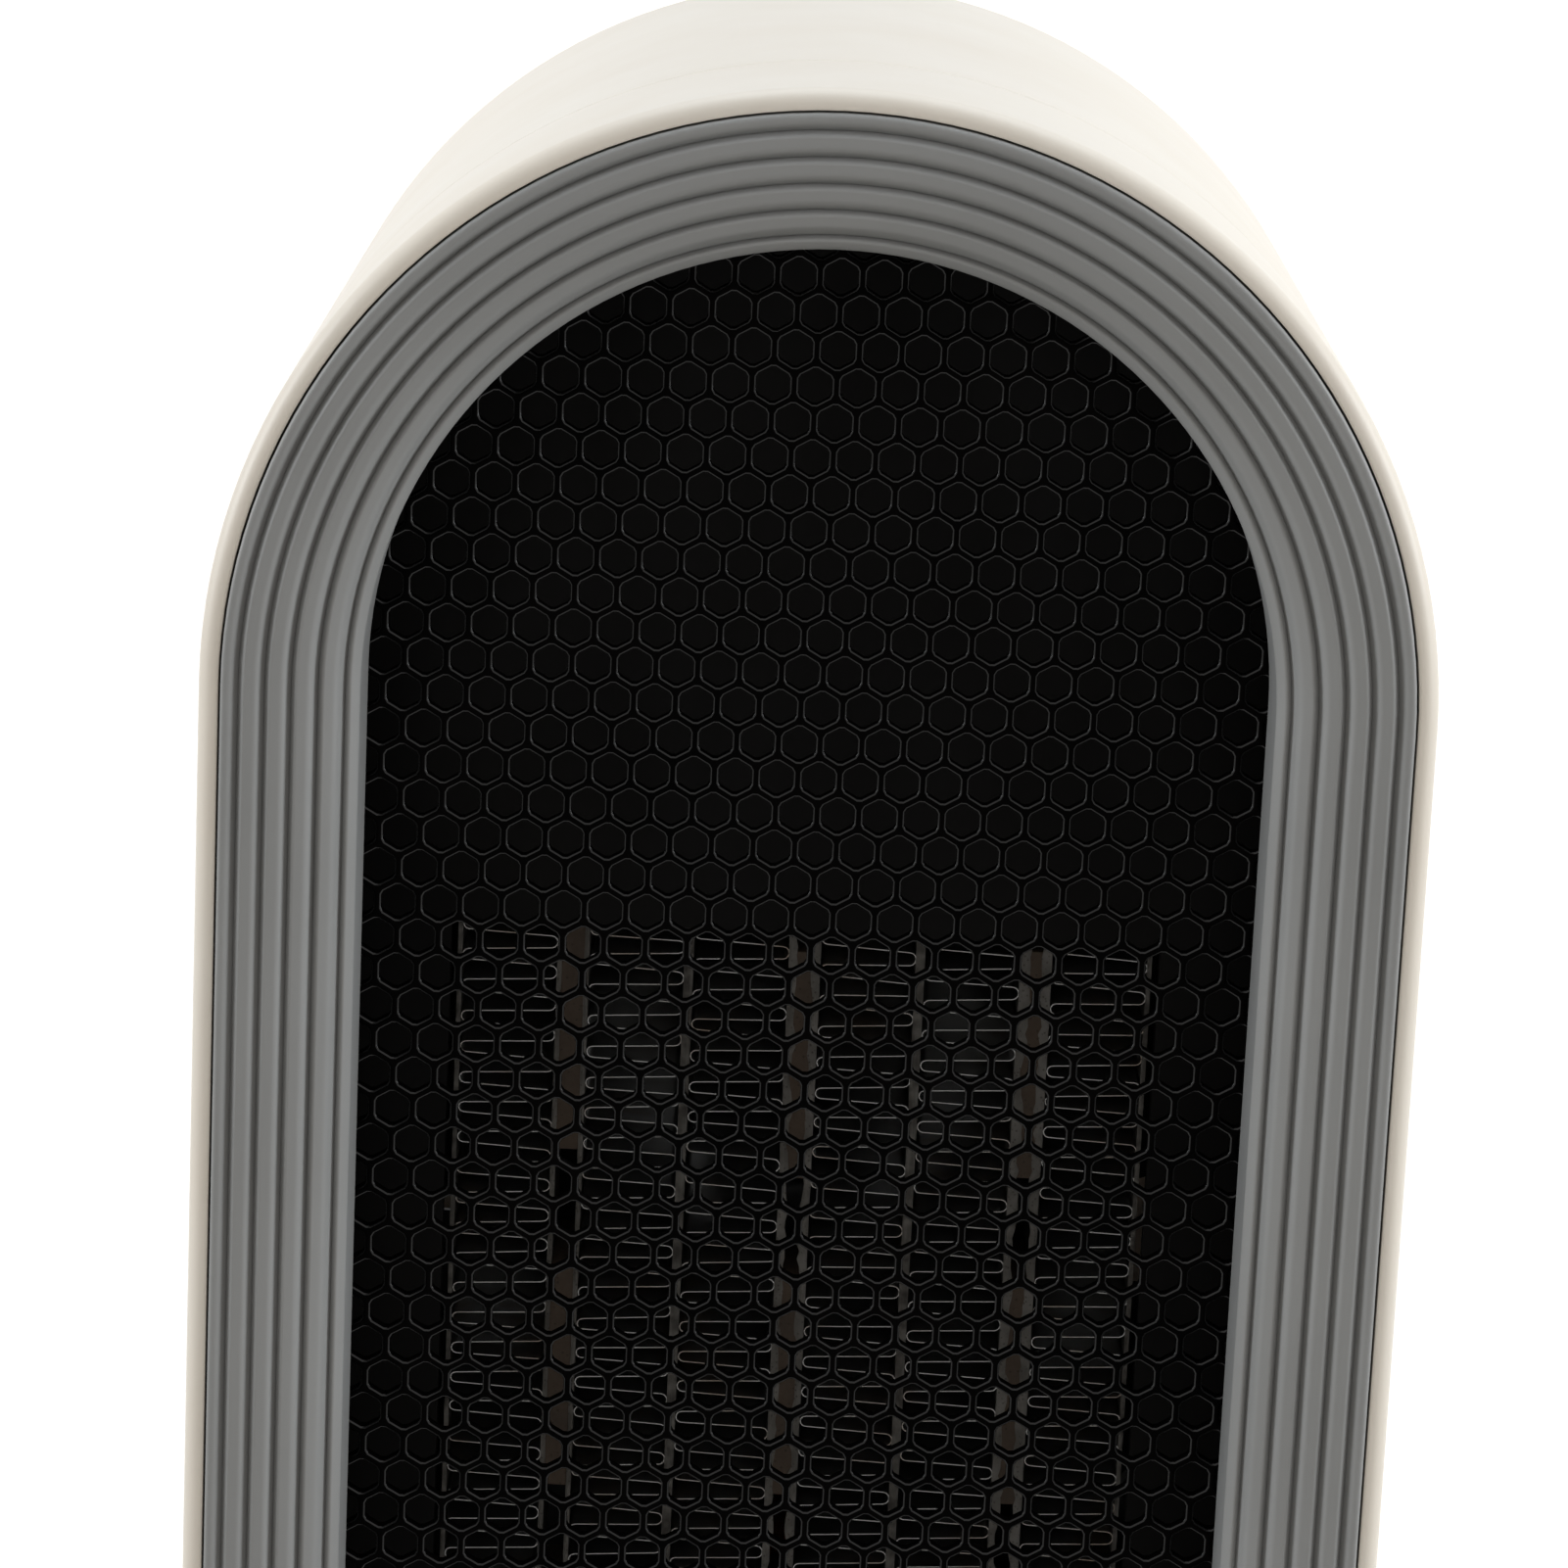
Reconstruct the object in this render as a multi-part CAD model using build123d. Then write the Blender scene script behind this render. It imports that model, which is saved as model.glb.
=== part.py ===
from build123d import *
import math
import os

# A small upright ceramic heater with a half-round top, in millimetres.
# +Z is up, the outlet faces -Y, and the origin is on the floor under the middle of the whole.
# Depths are counted from the rim of the case front towards the back.

# Case
motor_room = 8.5
front_shell_depth = 26.0
wall = 2.0
front_wall = 2.6
case_corner = 8.0
rim_chamfer = 0.9
back_round = 7.0
back_taper = 32.0
tab_thickness = 1.4
tab_height = 14.0
tab_reach = 4.0

# Outlet: two half circles joined by straight sides
outlet_margin = 8.725
seam_gap = 0.25

# Ribbed frame round the outlet
bezel_set_back = 0.2
bezel_drop = 5.9
bezel_width = 13.25
bezel_fullness = 2.4
groove_count = 5
groove_pitch = 2.48
groove_depth = 0.5
first_groove_inset = 1.4

# Mesh
grille_depth = 12.5
grille_thickness = 1.4
grille_overlap = 4.5
mesh_pitch = 4.14
mesh_web = 0.62
mesh_coarseness = 6
mesh_margin = 1.0

# Ledge and black tray behind the mesh
ledge_thickness = 2.0
grille_fit = 0.4
tray_wall = 2.0
tray_floor_depth = 26.5
tray_ear_reach = 4.0
tray_ear_height = 10.0

# Heating element
stone_length = 24.5
stone_spacing = 37.1
stones_in_row = 3
stone_thickness = 2.4
stone_depth = 15.0
top_stone_drops = (0.0, 2.1, 1.0)
electrode_thickness = 0.45
fin_width = 9.8
channel_thickness = 0.475
fin_spacing = 1.6
fin_coarseness = 3
fin_fold = 1.8
element_set_back = 0.6
frame_height = 5.0
frame_ear = 6.5
frame_ear_thickness = 3.0
window_room = 0.6
tab_width = 6.3
tab_metal = 0.8
tab_length = 9.0
cutout_radius = 6.0
cutout_height = 7.0
cutout_bar = 2.0
cutout_bar_length = 18.0
cutout_x = 18.0
fuse_radius = 2.0
fuse_length = 12.0

# Fan and its shroud
shroud_wall = 2.0
shroud_room = 2.65
plenum_room = 0.4
fan_hole_margin = 2.5
fan_clearance = 1.2
fan_depth = 20.0
fan_wall_gap = 1.0
hub_radius = 17.0
hub_wall = 2.0
hub_sides = 24
blade_count = 7
blade_thickness = 1.6
blade_chord = 26.0
blade_camber = 2.4
blade_pitch = 32.0
spider_thickness = 3.0
spider_plate_height = 36.0
spider_arm = 6.0
spider_plate_inset = 1.0

# Motor
shaft_radius = 2.0
running_gap = 0.05
stator_width = 60.0
stator_thickness = 16.0
stator_top = 20.0
stator_bottom = 44.0
rotor_radius = 13.0
rotor_sides = 24
rotor_gap = 0.5
rotor_overhang = 1.0
coil_window_top = 17.0
coil_window_bottom = 34.0
coil_wrap = 9.0
coil_width = 34.0
coil_corner = 3.0
coil_foot = 4.0
bracket_thickness = 1.6
bracket_height = 14.0
bracket_stand = 7.4
bearing_radius = 4.5
bearing_length = 5.0

# Controls
control_height = 36.0
panel_margin = 13.0
panel_height = 28.0
panel_thickness = 1.4
panel_pocket = 1.2
knob_spacing = 54.0
knob_radius = 12.0
knob_height = 13.0
knob_gap = 0.5
knob_ribs = 20
knob_rib_depth = 0.8
knob_pointer_width = 1.6
knob_pointer_depth = 1.0
spindle_radius = 3.0
spindle_reach = 8.0
spindle_hole_gap = 0.6
spindle_end_gap = 0.3
switch_size = 26.0
switch_depth = 18.0
switch_tab_width = 4.8
switch_tab_thickness = 0.8
switch_tab_length = 6.0
lens_radius = 2.5
lens_stand = 1.0
lamp_size = 4.6
lamp_length = 12.0

# Base
foot_height = 2.5
foot_width = 13.0
foot_gap = 1.0
base_head_height = 1.6
plinth_inset = 8.0
plinth_height = 7.5
plinth_wall = 2.2
plinth_corner = 14.0
plinth_set_back = 6.0
plunger_width = 8.0
plunger_hole_gap = 0.3
plunger_travel = 3.5
plunger_floor_gap = 0.1
plunger_collar = 1.3
plunger_stop_gap = 0.2
plunger_top_gap = 0.3
plunger_stem_width = 4.0
tip_switch_stand = 2.0
tip_switch_width = 20.0
tip_switch_thickness = 6.4
tip_switch_height = 10.0

# Inlet slots in the back
slot_zone_radius = 41.0
slot_height = 3.2
slot_pitch = 6.0
slot_rib = 3.0
slot_rows = 6

# Inlet for the supply lead
gland_neck_radius = 6.0
gland_bore = 3.6
gland_flange = 2.5
gland_flange_thickness = 3.0

# Terminal block
block_width = 30.0
block_depth = 14.0
block_height = 12.0
block_x = -26.0
block_room = 12.0
clamp_width = 6.0
clamp_height = 5.0
clamp_depth = 5.0

# Screws
screw_radius = 1.5
screw_clearance = 0.2
screw_head_radius = 2.8
screw_head_height = 2.0
boss_width = 8.0

# Places worked out from the sizes above
electrode_pair = stone_thickness + 2 * electrode_thickness
module_width = electrode_pair + 2 * fin_width + 2 * channel_thickness
element_half_width = 1.5 * module_width
outlet_radius = element_half_width + outlet_margin
bezel_radius = outlet_radius + bezel_width
pocket_radius = bezel_radius + seam_gap
case_radius = pocket_radius + wall
panel_width = 2 * (case_radius - panel_margin)
case_floor_z = foot_height + plinth_height
element_height = stone_length + (stones_in_row - 1) * stone_spacing
element_drop = 29.9
arch_spacing = element_height + 2 * element_drop
lower_centre_z = case_floor_z + control_height + pocket_radius
upper_centre_z = lower_centre_z + arch_spacing
middle_z = (lower_centre_z + upper_centre_z) / 2
case_top_z = upper_centre_z + case_radius
element_top_z = middle_z + element_height / 2
element_bottom_z = middle_z - element_height / 2
element_depth = tray_floor_depth + tray_wall + element_set_back
grille_radius = outlet_radius + grille_overlap
grille_back = grille_depth + grille_thickness
ledge_radius = grille_radius + grille_fit
ledge_front = grille_back - ledge_thickness
tray_inner_radius = outlet_radius + wall
tray_back = tray_floor_depth + tray_wall
plenum_back = element_depth + stone_depth + wall + plenum_room
fan_front = plenum_back + shroud_wall + fan_wall_gap
fan_back = fan_front + fan_depth
spider_front = fan_back + fan_wall_gap
spider_back = spider_front + spider_thickness
shroud_half_width = tray_inner_radius + tray_wall
shroud_half_height = element_height / 2 + frame_height + tab_length + shroud_room + shroud_wall
fan_hole_radius = shroud_half_width - fan_hole_margin
fan_tip_radius = fan_hole_radius - fan_clearance
stator_front = spider_back + bracket_thickness + bracket_stand
stator_back = stator_front + stator_thickness
rear_bracket_front = stator_back + bracket_stand
case_depth = rear_bracket_front + bracket_thickness + motor_room + wall
control_z = case_floor_z + control_height / 2
panel_front = panel_pocket - panel_thickness
knob_back = panel_front - knob_gap
knob_front = knob_back - knob_height
gland_back = case_depth + gland_flange_thickness
rim_y = -(knob_front + gland_back) / 2
plinth_bottom_z = foot_height
plinth_floor_z = plinth_bottom_z + plinth_wall
case_inner_z = case_floor_z + wall
screw_column_x = case_radius - 1.5 * boss_width
base_post_x = case_radius - plinth_inset - 0.75 * boss_width
foot_x = base_post_x - boss_width / 2 - foot_width / 2 - foot_gap
boss_low = control_z - boss_width / 2
boss_high = control_z + boss_width / 2
tip_switch_depth = case_depth / 2


def slab(outline, near, far):
    """A front-view outline, made solid between two depths."""
    plane = Plane.XZ.offset(-(rim_y + near))
    return extrude(plane * outline, amount=near - far)


def rod(radius, near, far, x=0.0, z=0.0):
    """A round bar that runs front to back."""
    return slab(Pos(x, z) * Circle(radius), near, far)


def block(width, near, far, low, high, x=0.0):
    """A box from its width, its two depths and its two heights."""
    return Pos(x, rim_y + (near + far) / 2, (low + high) / 2) * Box(width, far - near, high - low)


def upright(outline, low, high, x, depth):
    """A plan-view outline, made solid between two heights."""
    return Pos(x, rim_y + depth, low) * extrude(outline, amount=high - low)


def pill(radius):
    """The outlet's shape at a given radius: two half circles and straight sides."""
    slot = SlotCenterToCenter(arch_spacing, 2 * radius, rotation=90)
    return Pos(0, middle_z) * slot


def arch(inset):
    """The case's outline, drawn in by an inset."""
    radius = case_radius - inset
    floor = case_floor_z + inset
    right_side = Line((radius, floor), (radius, upper_centre_z))
    top = ThreePointArc((radius, upper_centre_z), (0, upper_centre_z + radius), (-radius, upper_centre_z))
    left_side = Line((-radius, upper_centre_z), (-radius, floor))
    bottom = Line((-radius, floor), (radius, floor))
    outline = make_face([right_side, top, left_side, bottom])
    corners = outline.vertices().filter_by(lambda v: abs(v.Y - floor) < 0.01)
    return fillet(corners, case_corner - inset)


def screw_shape(radius):
    """Screws and their pilot holes are six-sided in this plain model."""
    return RegularPolygon(radius, 6)


def front_shell():
    body = slab(arch(0), 0, front_shell_depth)
    front_edges = body.faces().sort_by(Axis.Y)[0].edges()
    body = chamfer(front_edges, rim_chamfer)
    body -= slab(arch(wall), front_wall, front_shell_depth)
    body += slab(pill(case_radius) - pill(pocket_radius), front_wall / 2, grille_back)
    body += slab(pill(pocket_radius) - pill(ledge_radius), ledge_front, grille_back)
    body -= slab(pill(pocket_radius), 0, ledge_front)
    body -= slab(Pos(0, control_z) * SlotOverall(panel_width, panel_height), 0, panel_pocket)
    for x in (-knob_spacing / 2, knob_spacing / 2):
        hole = RegularPolygon(spindle_radius + spindle_hole_gap, 8)
        body -= slab(Pos(x, control_z) * hole, 0, front_wall)
    body -= rod(lens_radius, 0, front_wall, 0, control_z)
    for x in (-screw_column_x, screw_column_x):
        body += block(boss_width, front_wall, front_shell_depth, boss_low, boss_high, x)
        hole = Pos(x, control_z) * screw_shape(screw_radius)
        body -= slab(hole, front_shell_depth / 2, front_shell_depth)
    for x in (-base_post_x, base_post_x):
        body -= upright(screw_shape(screw_radius), case_floor_z, case_inner_z, x, post_depths()[0])
    return body


def bevelled_back(inset, near):
    """The case's outline carried to the back, which draws in over its last part."""
    start = case_depth - back_round
    plane = Plane.XZ.offset(-(rim_y + start))
    body = slab(arch(inset), near, start)
    return body + extrude(plane * arch(inset), amount=inset - back_round, taper=back_taper)


def rear_shell():
    body = bevelled_back(0, front_shell_depth) - bevelled_back(wall, front_shell_depth)
    tab_near = front_shell_depth - tab_reach
    tab_far = front_shell_depth + tab_reach
    for x in (-case_radius + wall + tab_thickness / 2, case_radius - wall - tab_thickness / 2):
        for z in (lower_centre_z, middle_z, upper_centre_z - tab_height):
            low = z - tab_height / 2
            body += block(tab_thickness, tab_near, tab_far, low, low + tab_height, x)
    for row in range(-slot_rows, slot_rows + 1):
        rise = row * slot_pitch
        length = 2 * math.sqrt(slot_zone_radius**2 - rise**2)
        low = middle_z + rise - slot_height / 2
        body -= block(length, case_depth - wall, case_depth, low, low + slot_height)
    rib_low = middle_z - slot_zone_radius
    rib_high = middle_z + slot_zone_radius
    body += block(slot_rib, case_depth - 2 * wall, case_depth - wall, rib_low, rib_high)
    recess = front_shell_depth + 2 * wall
    for x in (-screw_column_x, screw_column_x):
        body += block(boss_width, front_shell_depth, case_depth - wall, boss_low, boss_high, x)
        place = Pos(x, control_z)
        body -= slab(place * screw_shape(screw_head_radius + screw_clearance), recess, case_depth)
        body -= slab(place * screw_shape(screw_radius + screw_clearance), front_shell_depth, recess)
    body -= slab(Pos(0, control_z) * RegularPolygon(gland_neck_radius, 6), case_depth - wall, case_depth)
    post_x = plunger_width / 2 + 2 * wall
    post_near = tip_switch_depth - wall
    post_far = tip_switch_depth + wall
    for x in (-post_x, post_x):
        body += block(2 * wall, post_near, post_far, case_inner_z, case_inner_z + tip_switch_stand, x)
    hole_width = plunger_stem_width + 2 * plunger_hole_gap
    body -= upright(Rectangle(hole_width, hole_width), case_floor_z, case_inner_z, 0, tip_switch_depth)
    for x in (-base_post_x, base_post_x):
        body -= upright(screw_shape(screw_radius), case_floor_z, case_inner_z, x, post_depths()[1])
    return body


def bezel_face_depth(radius):
    """Depth of the ribbed face: a full quarter ellipse that turns into the outlet's wall."""
    reach = min(1.0, (bezel_radius - radius) / (bezel_radius - outlet_radius))
    return bezel_set_back + bezel_drop * (1 - (1 - reach**bezel_fullness) ** (1 / bezel_fullness))


def bezel_section():
    """The ribbed frame's section: X is the radius and Y is the depth."""
    points = [(bezel_radius, bezel_face_depth(bezel_radius))]
    for groove in range(groove_count):
        valley = bezel_radius - first_groove_inset - groove * groove_pitch
        crest = valley - groove_pitch / 2
        points.append((valley, bezel_face_depth(valley) + groove_depth))
        points.append((crest, bezel_face_depth(crest)))
    points.append((outlet_radius, bezel_set_back + bezel_drop))
    points.append((outlet_radius, ledge_front))
    points.append((bezel_radius, ledge_front))
    return make_face(Polyline(points, close=True))


def bezel_ring():
    section = bezel_section()
    upright = Plane(origin=(0, rim_y, upper_centre_z), x_dir=(1, 0, 0), z_dir=(0, 0, 1))
    lower = Plane(origin=(0, rim_y, lower_centre_z), x_dir=(1, 0, 0), z_dir=(0, 0, 1))
    upper_axis = Axis((0, 0, upper_centre_z), (0, -1, 0))
    lower_axis = Axis((0, 0, lower_centre_z), (0, 1, 0))
    right_side = extrude(lower * section, amount=arch_spacing)
    ring = revolve(upright * section, upper_axis, 180)
    ring += revolve(lower * section, lower_axis, 180)
    ring += right_side
    ring += mirror(right_side, Plane.YZ)
    return ring


def mesh_centres(pitch, radius):
    """Centres of a honeycomb with pointed tops that lie inside a pill of the given radius."""
    row_height = pitch * math.sqrt(3) / 2
    rows = int((arch_spacing / 2 + radius) / row_height) + 1
    columns = int(radius / pitch) + 2
    centres = []
    for row in range(-rows, rows + 1):
        z = row * row_height
        beyond = max(0.0, abs(z) - arch_spacing / 2)
        for column in range(-columns, columns + 1):
            x = (column + (row % 2) / 2) * pitch
            if math.hypot(x, beyond) < radius:
                centres.append((x, middle_z + z))
    return centres


def front_grille():
    pitch = mesh_pitch * mesh_coarseness
    across_corners = (mesh_pitch - mesh_web) * mesh_coarseness / math.sqrt(3)
    room = grille_radius - mesh_margin - across_corners
    hexagon = RegularPolygon(across_corners, 6, rotation=30)
    holes = [Pos(x, z) * hexagon for x, z in mesh_centres(pitch, room)]
    return slab(pill(grille_radius) - holes, grille_depth, grille_back)


def element_window():
    width = 2 * (element_half_width + window_room)
    height = element_height + 2 * window_room
    return Pos(0, middle_z) * Rectangle(width, height)


def outlet_tray():
    """A black cup behind the mesh with a window for the element and four bosses for its frames."""
    outer = tray_inner_radius + tray_wall
    tray = slab(pill(outer) - pill(tray_inner_radius), grille_back, tray_back)
    tray += slab(pill(outer) - element_window(), tray_floor_depth, tray_back)
    for z in (lower_centre_z, middle_z, upper_centre_z):
        for side in (-1, 1):
            x = side * (outer + (tray_ear_reach - tray_wall) / 2)
            low = z - tray_ear_height / 2
            high = low + tray_ear_height
            tray += block(tray_ear_reach + tray_wall, grille_back, grille_back + tray_wall, low, high, x)
    for low in (element_bottom_z - frame_height, element_top_z):
        for side in (-1, 1):
            x = side * (element_half_width + frame_ear / 2)
            tray += block(frame_ear, tray_back, tray_back + 2 * tray_wall, low, low + frame_height, x)
    return tray


def element_column(index):
    """The middle of one row of stones."""
    return (index - 1) * module_width


def ceramic_stones():
    stones = []
    for row in range(3):
        for place in range(stones_in_row):
            drop = top_stone_drops[row] if place == 0 else 0.0
            high = element_top_z - place * stone_spacing - drop
            low = high - stone_length
            back = element_depth + stone_depth
            stones.append(block(stone_thickness, element_depth, back, low, high, element_column(row)))
    return stones


def electrode_plates():
    plates = []
    offset = (stone_thickness + electrode_thickness) / 2
    back = element_depth + stone_depth
    for row in range(3):
        for side in (-1, 1):
            x = element_column(row) + side * offset
            plate = block(electrode_thickness, element_depth, back, element_bottom_z, element_top_z, x)
            plates.append(plate)
    return plates


def channel_plates():
    """One plate outside each end module, and a double one between modules."""
    plates = []
    back = element_depth + stone_depth
    for index in range(4):
        x = (index - 1.5) * module_width
        width = 2 * channel_thickness
        if index == 0:
            x += channel_thickness / 2
            width = channel_thickness
        if index == 3:
            x -= channel_thickness / 2
            width = channel_thickness
        plates.append(block(width, element_depth, back, element_bottom_z, element_top_z, x))
    return plates


def folded_fin(left):
    """One strip folded to and fro between two plates, seen from the front."""
    right = left + fin_width
    lines = int(element_height / (fin_spacing * fin_coarseness))
    spacing = element_height / lines
    low_side = []
    high_side = []
    for line in range(lines + 1):
        z = element_bottom_z + line * spacing
        if line % 2 == 0:
            low_side.append((left, z))
            high_side.append((left + fin_fold, z))
        else:
            low_side.append((right - fin_fold, z))
            high_side.append((right, z))
    outline = make_face(Polyline(low_side + high_side[::-1], close=True))
    return slab(outline, element_depth, element_depth + stone_depth)


def heating_fins():
    fins = []
    for row in range(3):
        x = element_column(row)
        fins.append(folded_fin(x - electrode_pair / 2 - fin_width))
        fins.append(folded_fin(x + electrode_pair / 2))
    return fins


def element_frame(low, high):
    """The heat-proof bar across one end of the element, with two ears on the tray's bosses."""
    frame = block(2 * element_half_width, tray_back, element_depth + stone_depth + wall, low, high)
    ear_near = tray_back + 2 * tray_wall
    width = 2 * (element_half_width + frame_ear)
    frame += block(width, ear_near, ear_near + frame_ear_thickness, low, high)
    return frame


def element_terminals():
    """Push-on tabs that stand on the top frame."""
    tabs = []
    low = element_top_z + frame_height
    near = element_depth + (stone_depth - tab_width) / 2
    for index in range(4):
        x = (index - 1.5) * 2 * element_half_width / 4
        tabs.append(block(tab_metal, near, near + tab_width, low, low + tab_length, x))
    return tabs


def thermal_cutout():
    """A disc thermostat on a bar under the element."""
    low = element_bottom_z - frame_height
    middle = element_depth + stone_depth / 2
    cutout = upright(RegularPolygon(cutout_radius, 12), low - cutout_height, low, -cutout_x, middle)
    bar_low = low - cutout_height - cutout_bar
    bar_high = low - cutout_height / 2
    bar_near = middle - cutout_bar / 2
    return cutout + block(cutout_bar_length, bar_near, bar_near + cutout_bar, bar_low, bar_high, -cutout_x)


def thermal_fuse():
    low = element_bottom_z - frame_height
    middle = element_depth + stone_depth / 2
    half = fuse_length / 2
    place = Plane.YZ.offset(cutout_x - half) * Pos(rim_y + middle, low - fuse_radius)
    fuse = place * RegularPolygon(fuse_radius, 8, major_radius=False, rotation=22.5)
    return extrude(fuse, amount=fuse_length)


def fan_shroud():
    """A box behind the tray that narrows to a round collar with a four-armed motor mount."""
    outer = Pos(0, middle_z) * Rectangle(2 * shroud_half_width, 2 * shroud_half_height)
    inner_width = 2 * (shroud_half_width - shroud_wall)
    inner = Pos(0, middle_z) * Rectangle(inner_width, 2 * (shroud_half_height - shroud_wall))
    hole = Pos(0, middle_z) * Circle(fan_hole_radius)
    collar = Pos(0, middle_z) * Circle(fan_hole_radius + shroud_wall)
    shroud = slab(outer - inner, tray_back, plenum_back)
    shroud += slab(outer - hole, plenum_back, plenum_back + shroud_wall)
    shroud += slab(collar - hole, plenum_back + shroud_wall, spider_back)
    mount = Rectangle(stator_width - 2 * spider_plate_inset, spider_plate_height)
    arm_length = 2 * fan_hole_radius + shroud_wall
    for angle in (45, 135):
        mount += Rectangle(arm_length, spider_arm, rotation=angle)
    mount -= Circle(2 * shaft_radius)
    return shroud + slab(Pos(0, middle_z) * mount, spider_front, spider_back)


def blade_outline():
    """A cambered blade seen from its tip: X is across the fan and Y is along its axis."""
    half = blade_chord / 2
    points = [(-half, 0), (0, blade_camber), (half, 0), (0, blade_camber + blade_thickness)]
    return make_face(Polyline(points, close=True))


def fan_impeller():
    outline = Rot(0, 0, blade_pitch) * blade_outline()
    blade_root = Plane(origin=(0, 0, hub_radius - wall), x_dir=(1, 0, 0), z_dir=(0, 0, 1))
    blade = extrude(blade_root * outline, amount=fan_tip_radius)
    blade &= Rot(90, 0, 0) * Cylinder(fan_tip_radius, fan_depth)
    inside = Pos(0, hub_wall, 0) * Rot(90, 0, 0)
    back = Plane.XZ.offset(-fan_depth / 2)
    fan = extrude(back * RegularPolygon(hub_radius, hub_sides), amount=fan_depth)
    fan -= extrude(back * RegularPolygon(hub_radius - hub_wall, hub_sides), amount=fan_depth - hub_wall)
    fan += extrude(back * RegularPolygon(3 * shaft_radius, 8), amount=fan_depth)
    for index in range(blade_count):
        fan += Rot(0, index * 360 / blade_count, 0) * blade
    fan -= inside * Cylinder(shaft_radius, fan_depth)
    return Pos(0, rim_y + fan_front + fan_depth / 2, middle_z) * fan


def motor_stator():
    outline = Rectangle(stator_width, stator_top + stator_bottom)
    outline = Pos(0, (stator_top - stator_bottom) / 2) * outline
    window = Rectangle(coil_width, coil_window_bottom - coil_window_top)
    outline -= Pos(0, -(coil_window_top + coil_window_bottom) / 2) * window
    outline -= RegularPolygon(rotor_radius + rotor_gap, rotor_sides, major_radius=False)
    return slab(Pos(0, middle_z) * outline, stator_front, stator_back)


def motor_coil():
    """The winding round the stator's lower bar."""
    bar_top = middle_z - coil_window_bottom
    bar_bottom = middle_z - stator_bottom
    near = stator_front - coil_wrap
    far = stator_back + coil_wrap
    low = bar_bottom - coil_wrap - coil_foot
    high = bar_top + coil_window_bottom - coil_window_top
    coil = block(coil_width, near, far, low, high)
    coil = chamfer(coil.edges().filter_by(Axis.X), coil_corner)
    return coil - block(coil_width, stator_front, stator_back, bar_bottom, bar_top)


def motor_bracket(strap_near, bearing_near, leg_near, leg_far):
    """A strap across the stator with the pressed-in bearing in its middle and a leg at each end."""
    low = middle_z - bracket_height / 2
    high = middle_z + bracket_height / 2
    bracket = block(stator_width, strap_near, strap_near + bracket_thickness, low, high)
    leg_x = stator_width / 2 - bracket_thickness
    for x in (-leg_x, leg_x):
        bracket += block(2 * bracket_thickness, leg_near, leg_far, low, high, x)
    bearing = Pos(0, middle_z) * RegularPolygon(bearing_radius, 8)
    bearing_far = bearing_near + bearing_length
    bracket += slab(bearing, bearing_near, bearing_far)
    return bracket - rod(shaft_radius + running_gap, bearing_near, bearing_far, 0, middle_z)


def motor_front_bracket():
    return motor_bracket(spider_back, spider_back, spider_back, stator_front)


def motor_rear_bracket():
    bearing_near = rear_bracket_front + bracket_thickness - bearing_length
    return motor_bracket(rear_bracket_front, bearing_near, stator_back, rear_bracket_front)


def motor_rotor():
    outline = Pos(0, middle_z) * (RegularPolygon(rotor_radius, rotor_sides) - Circle(shaft_radius))
    return slab(outline, stator_front - rotor_overhang, stator_back + rotor_overhang)


def motor_shaft():
    return rod(shaft_radius, fan_front + hub_wall, rear_bracket_front + bracket_thickness, 0, middle_z)


def screw(near, far, x, z):
    """A screw driven from the back: the head ends at the far depth."""
    head = slab(Pos(x, z) * screw_shape(screw_head_radius), far - screw_head_height, far)
    return head + slab(Pos(x, z) * screw_shape(screw_radius), near, far - screw_head_height)


def case_screws():
    far = front_shell_depth + 2 * wall + screw_head_height
    return [screw(front_shell_depth / 2, far, x, control_z) for x in (-screw_column_x, screw_column_x)]


def control_panel():
    panel = SlotOverall(panel_width, panel_height)
    for x in (-knob_spacing / 2, knob_spacing / 2):
        panel -= Pos(x, 0) * RegularPolygon(spindle_radius + spindle_hole_gap, 8)
    panel -= Circle(lens_radius)
    return slab(Pos(0, control_z) * panel, panel_front, panel_pocket)


def knob(x):
    """A round knob with a ribbed side and a pointer slot, closed in front."""
    points = []
    for index in range(2 * knob_ribs):
        angle = math.radians(index * 180 / knob_ribs)
        radius = knob_radius - knob_rib_depth * (index % 2)
        points.append((x + radius * math.sin(angle), control_z + radius * math.cos(angle)))
    body = slab(make_face(Polyline(points, close=True)), knob_front, knob_back)
    pointer = Pos(x, control_z + knob_radius / 2) * Rectangle(knob_pointer_width, knob_radius)
    body -= slab(pointer, knob_front, knob_front + knob_pointer_depth)
    return body - slab(spindle_outline(x), knob_back - spindle_reach, knob_back)


def spindle_outline(x):
    return Pos(x, control_z) * RegularPolygon(spindle_radius, 8)


def spindle(x):
    return slab(spindle_outline(x), knob_back - spindle_reach, front_wall + spindle_reach)


def switch_body(x):
    """A rotary control's body behind the case wall, with a bore for its spindle."""
    low = control_z - switch_size / 2
    body = block(switch_size, front_wall, front_wall + switch_depth, low, low + switch_size, x)
    for tab_x in (x - switch_size / 4, x + switch_size / 4):
        tab_near = front_wall + switch_depth
        tab_low = control_z - switch_tab_thickness / 2
        tab_high = control_z + switch_tab_thickness / 2
        body += block(switch_tab_width, tab_near, tab_near + switch_tab_length, tab_low, tab_high, tab_x)
    bore = Pos(x, control_z) * RegularPolygon(spindle_radius + running_gap, 8, major_radius=False)
    return body - slab(bore, front_wall, front_wall + spindle_reach + spindle_end_gap)


def indicator_lens():
    return rod(lens_radius, panel_front - lens_stand, front_wall, 0, control_z)


def indicator_lamp():
    low = control_z - lamp_size / 2
    return block(lamp_size, front_wall, front_wall + lamp_length, low, low + lamp_size)


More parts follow.
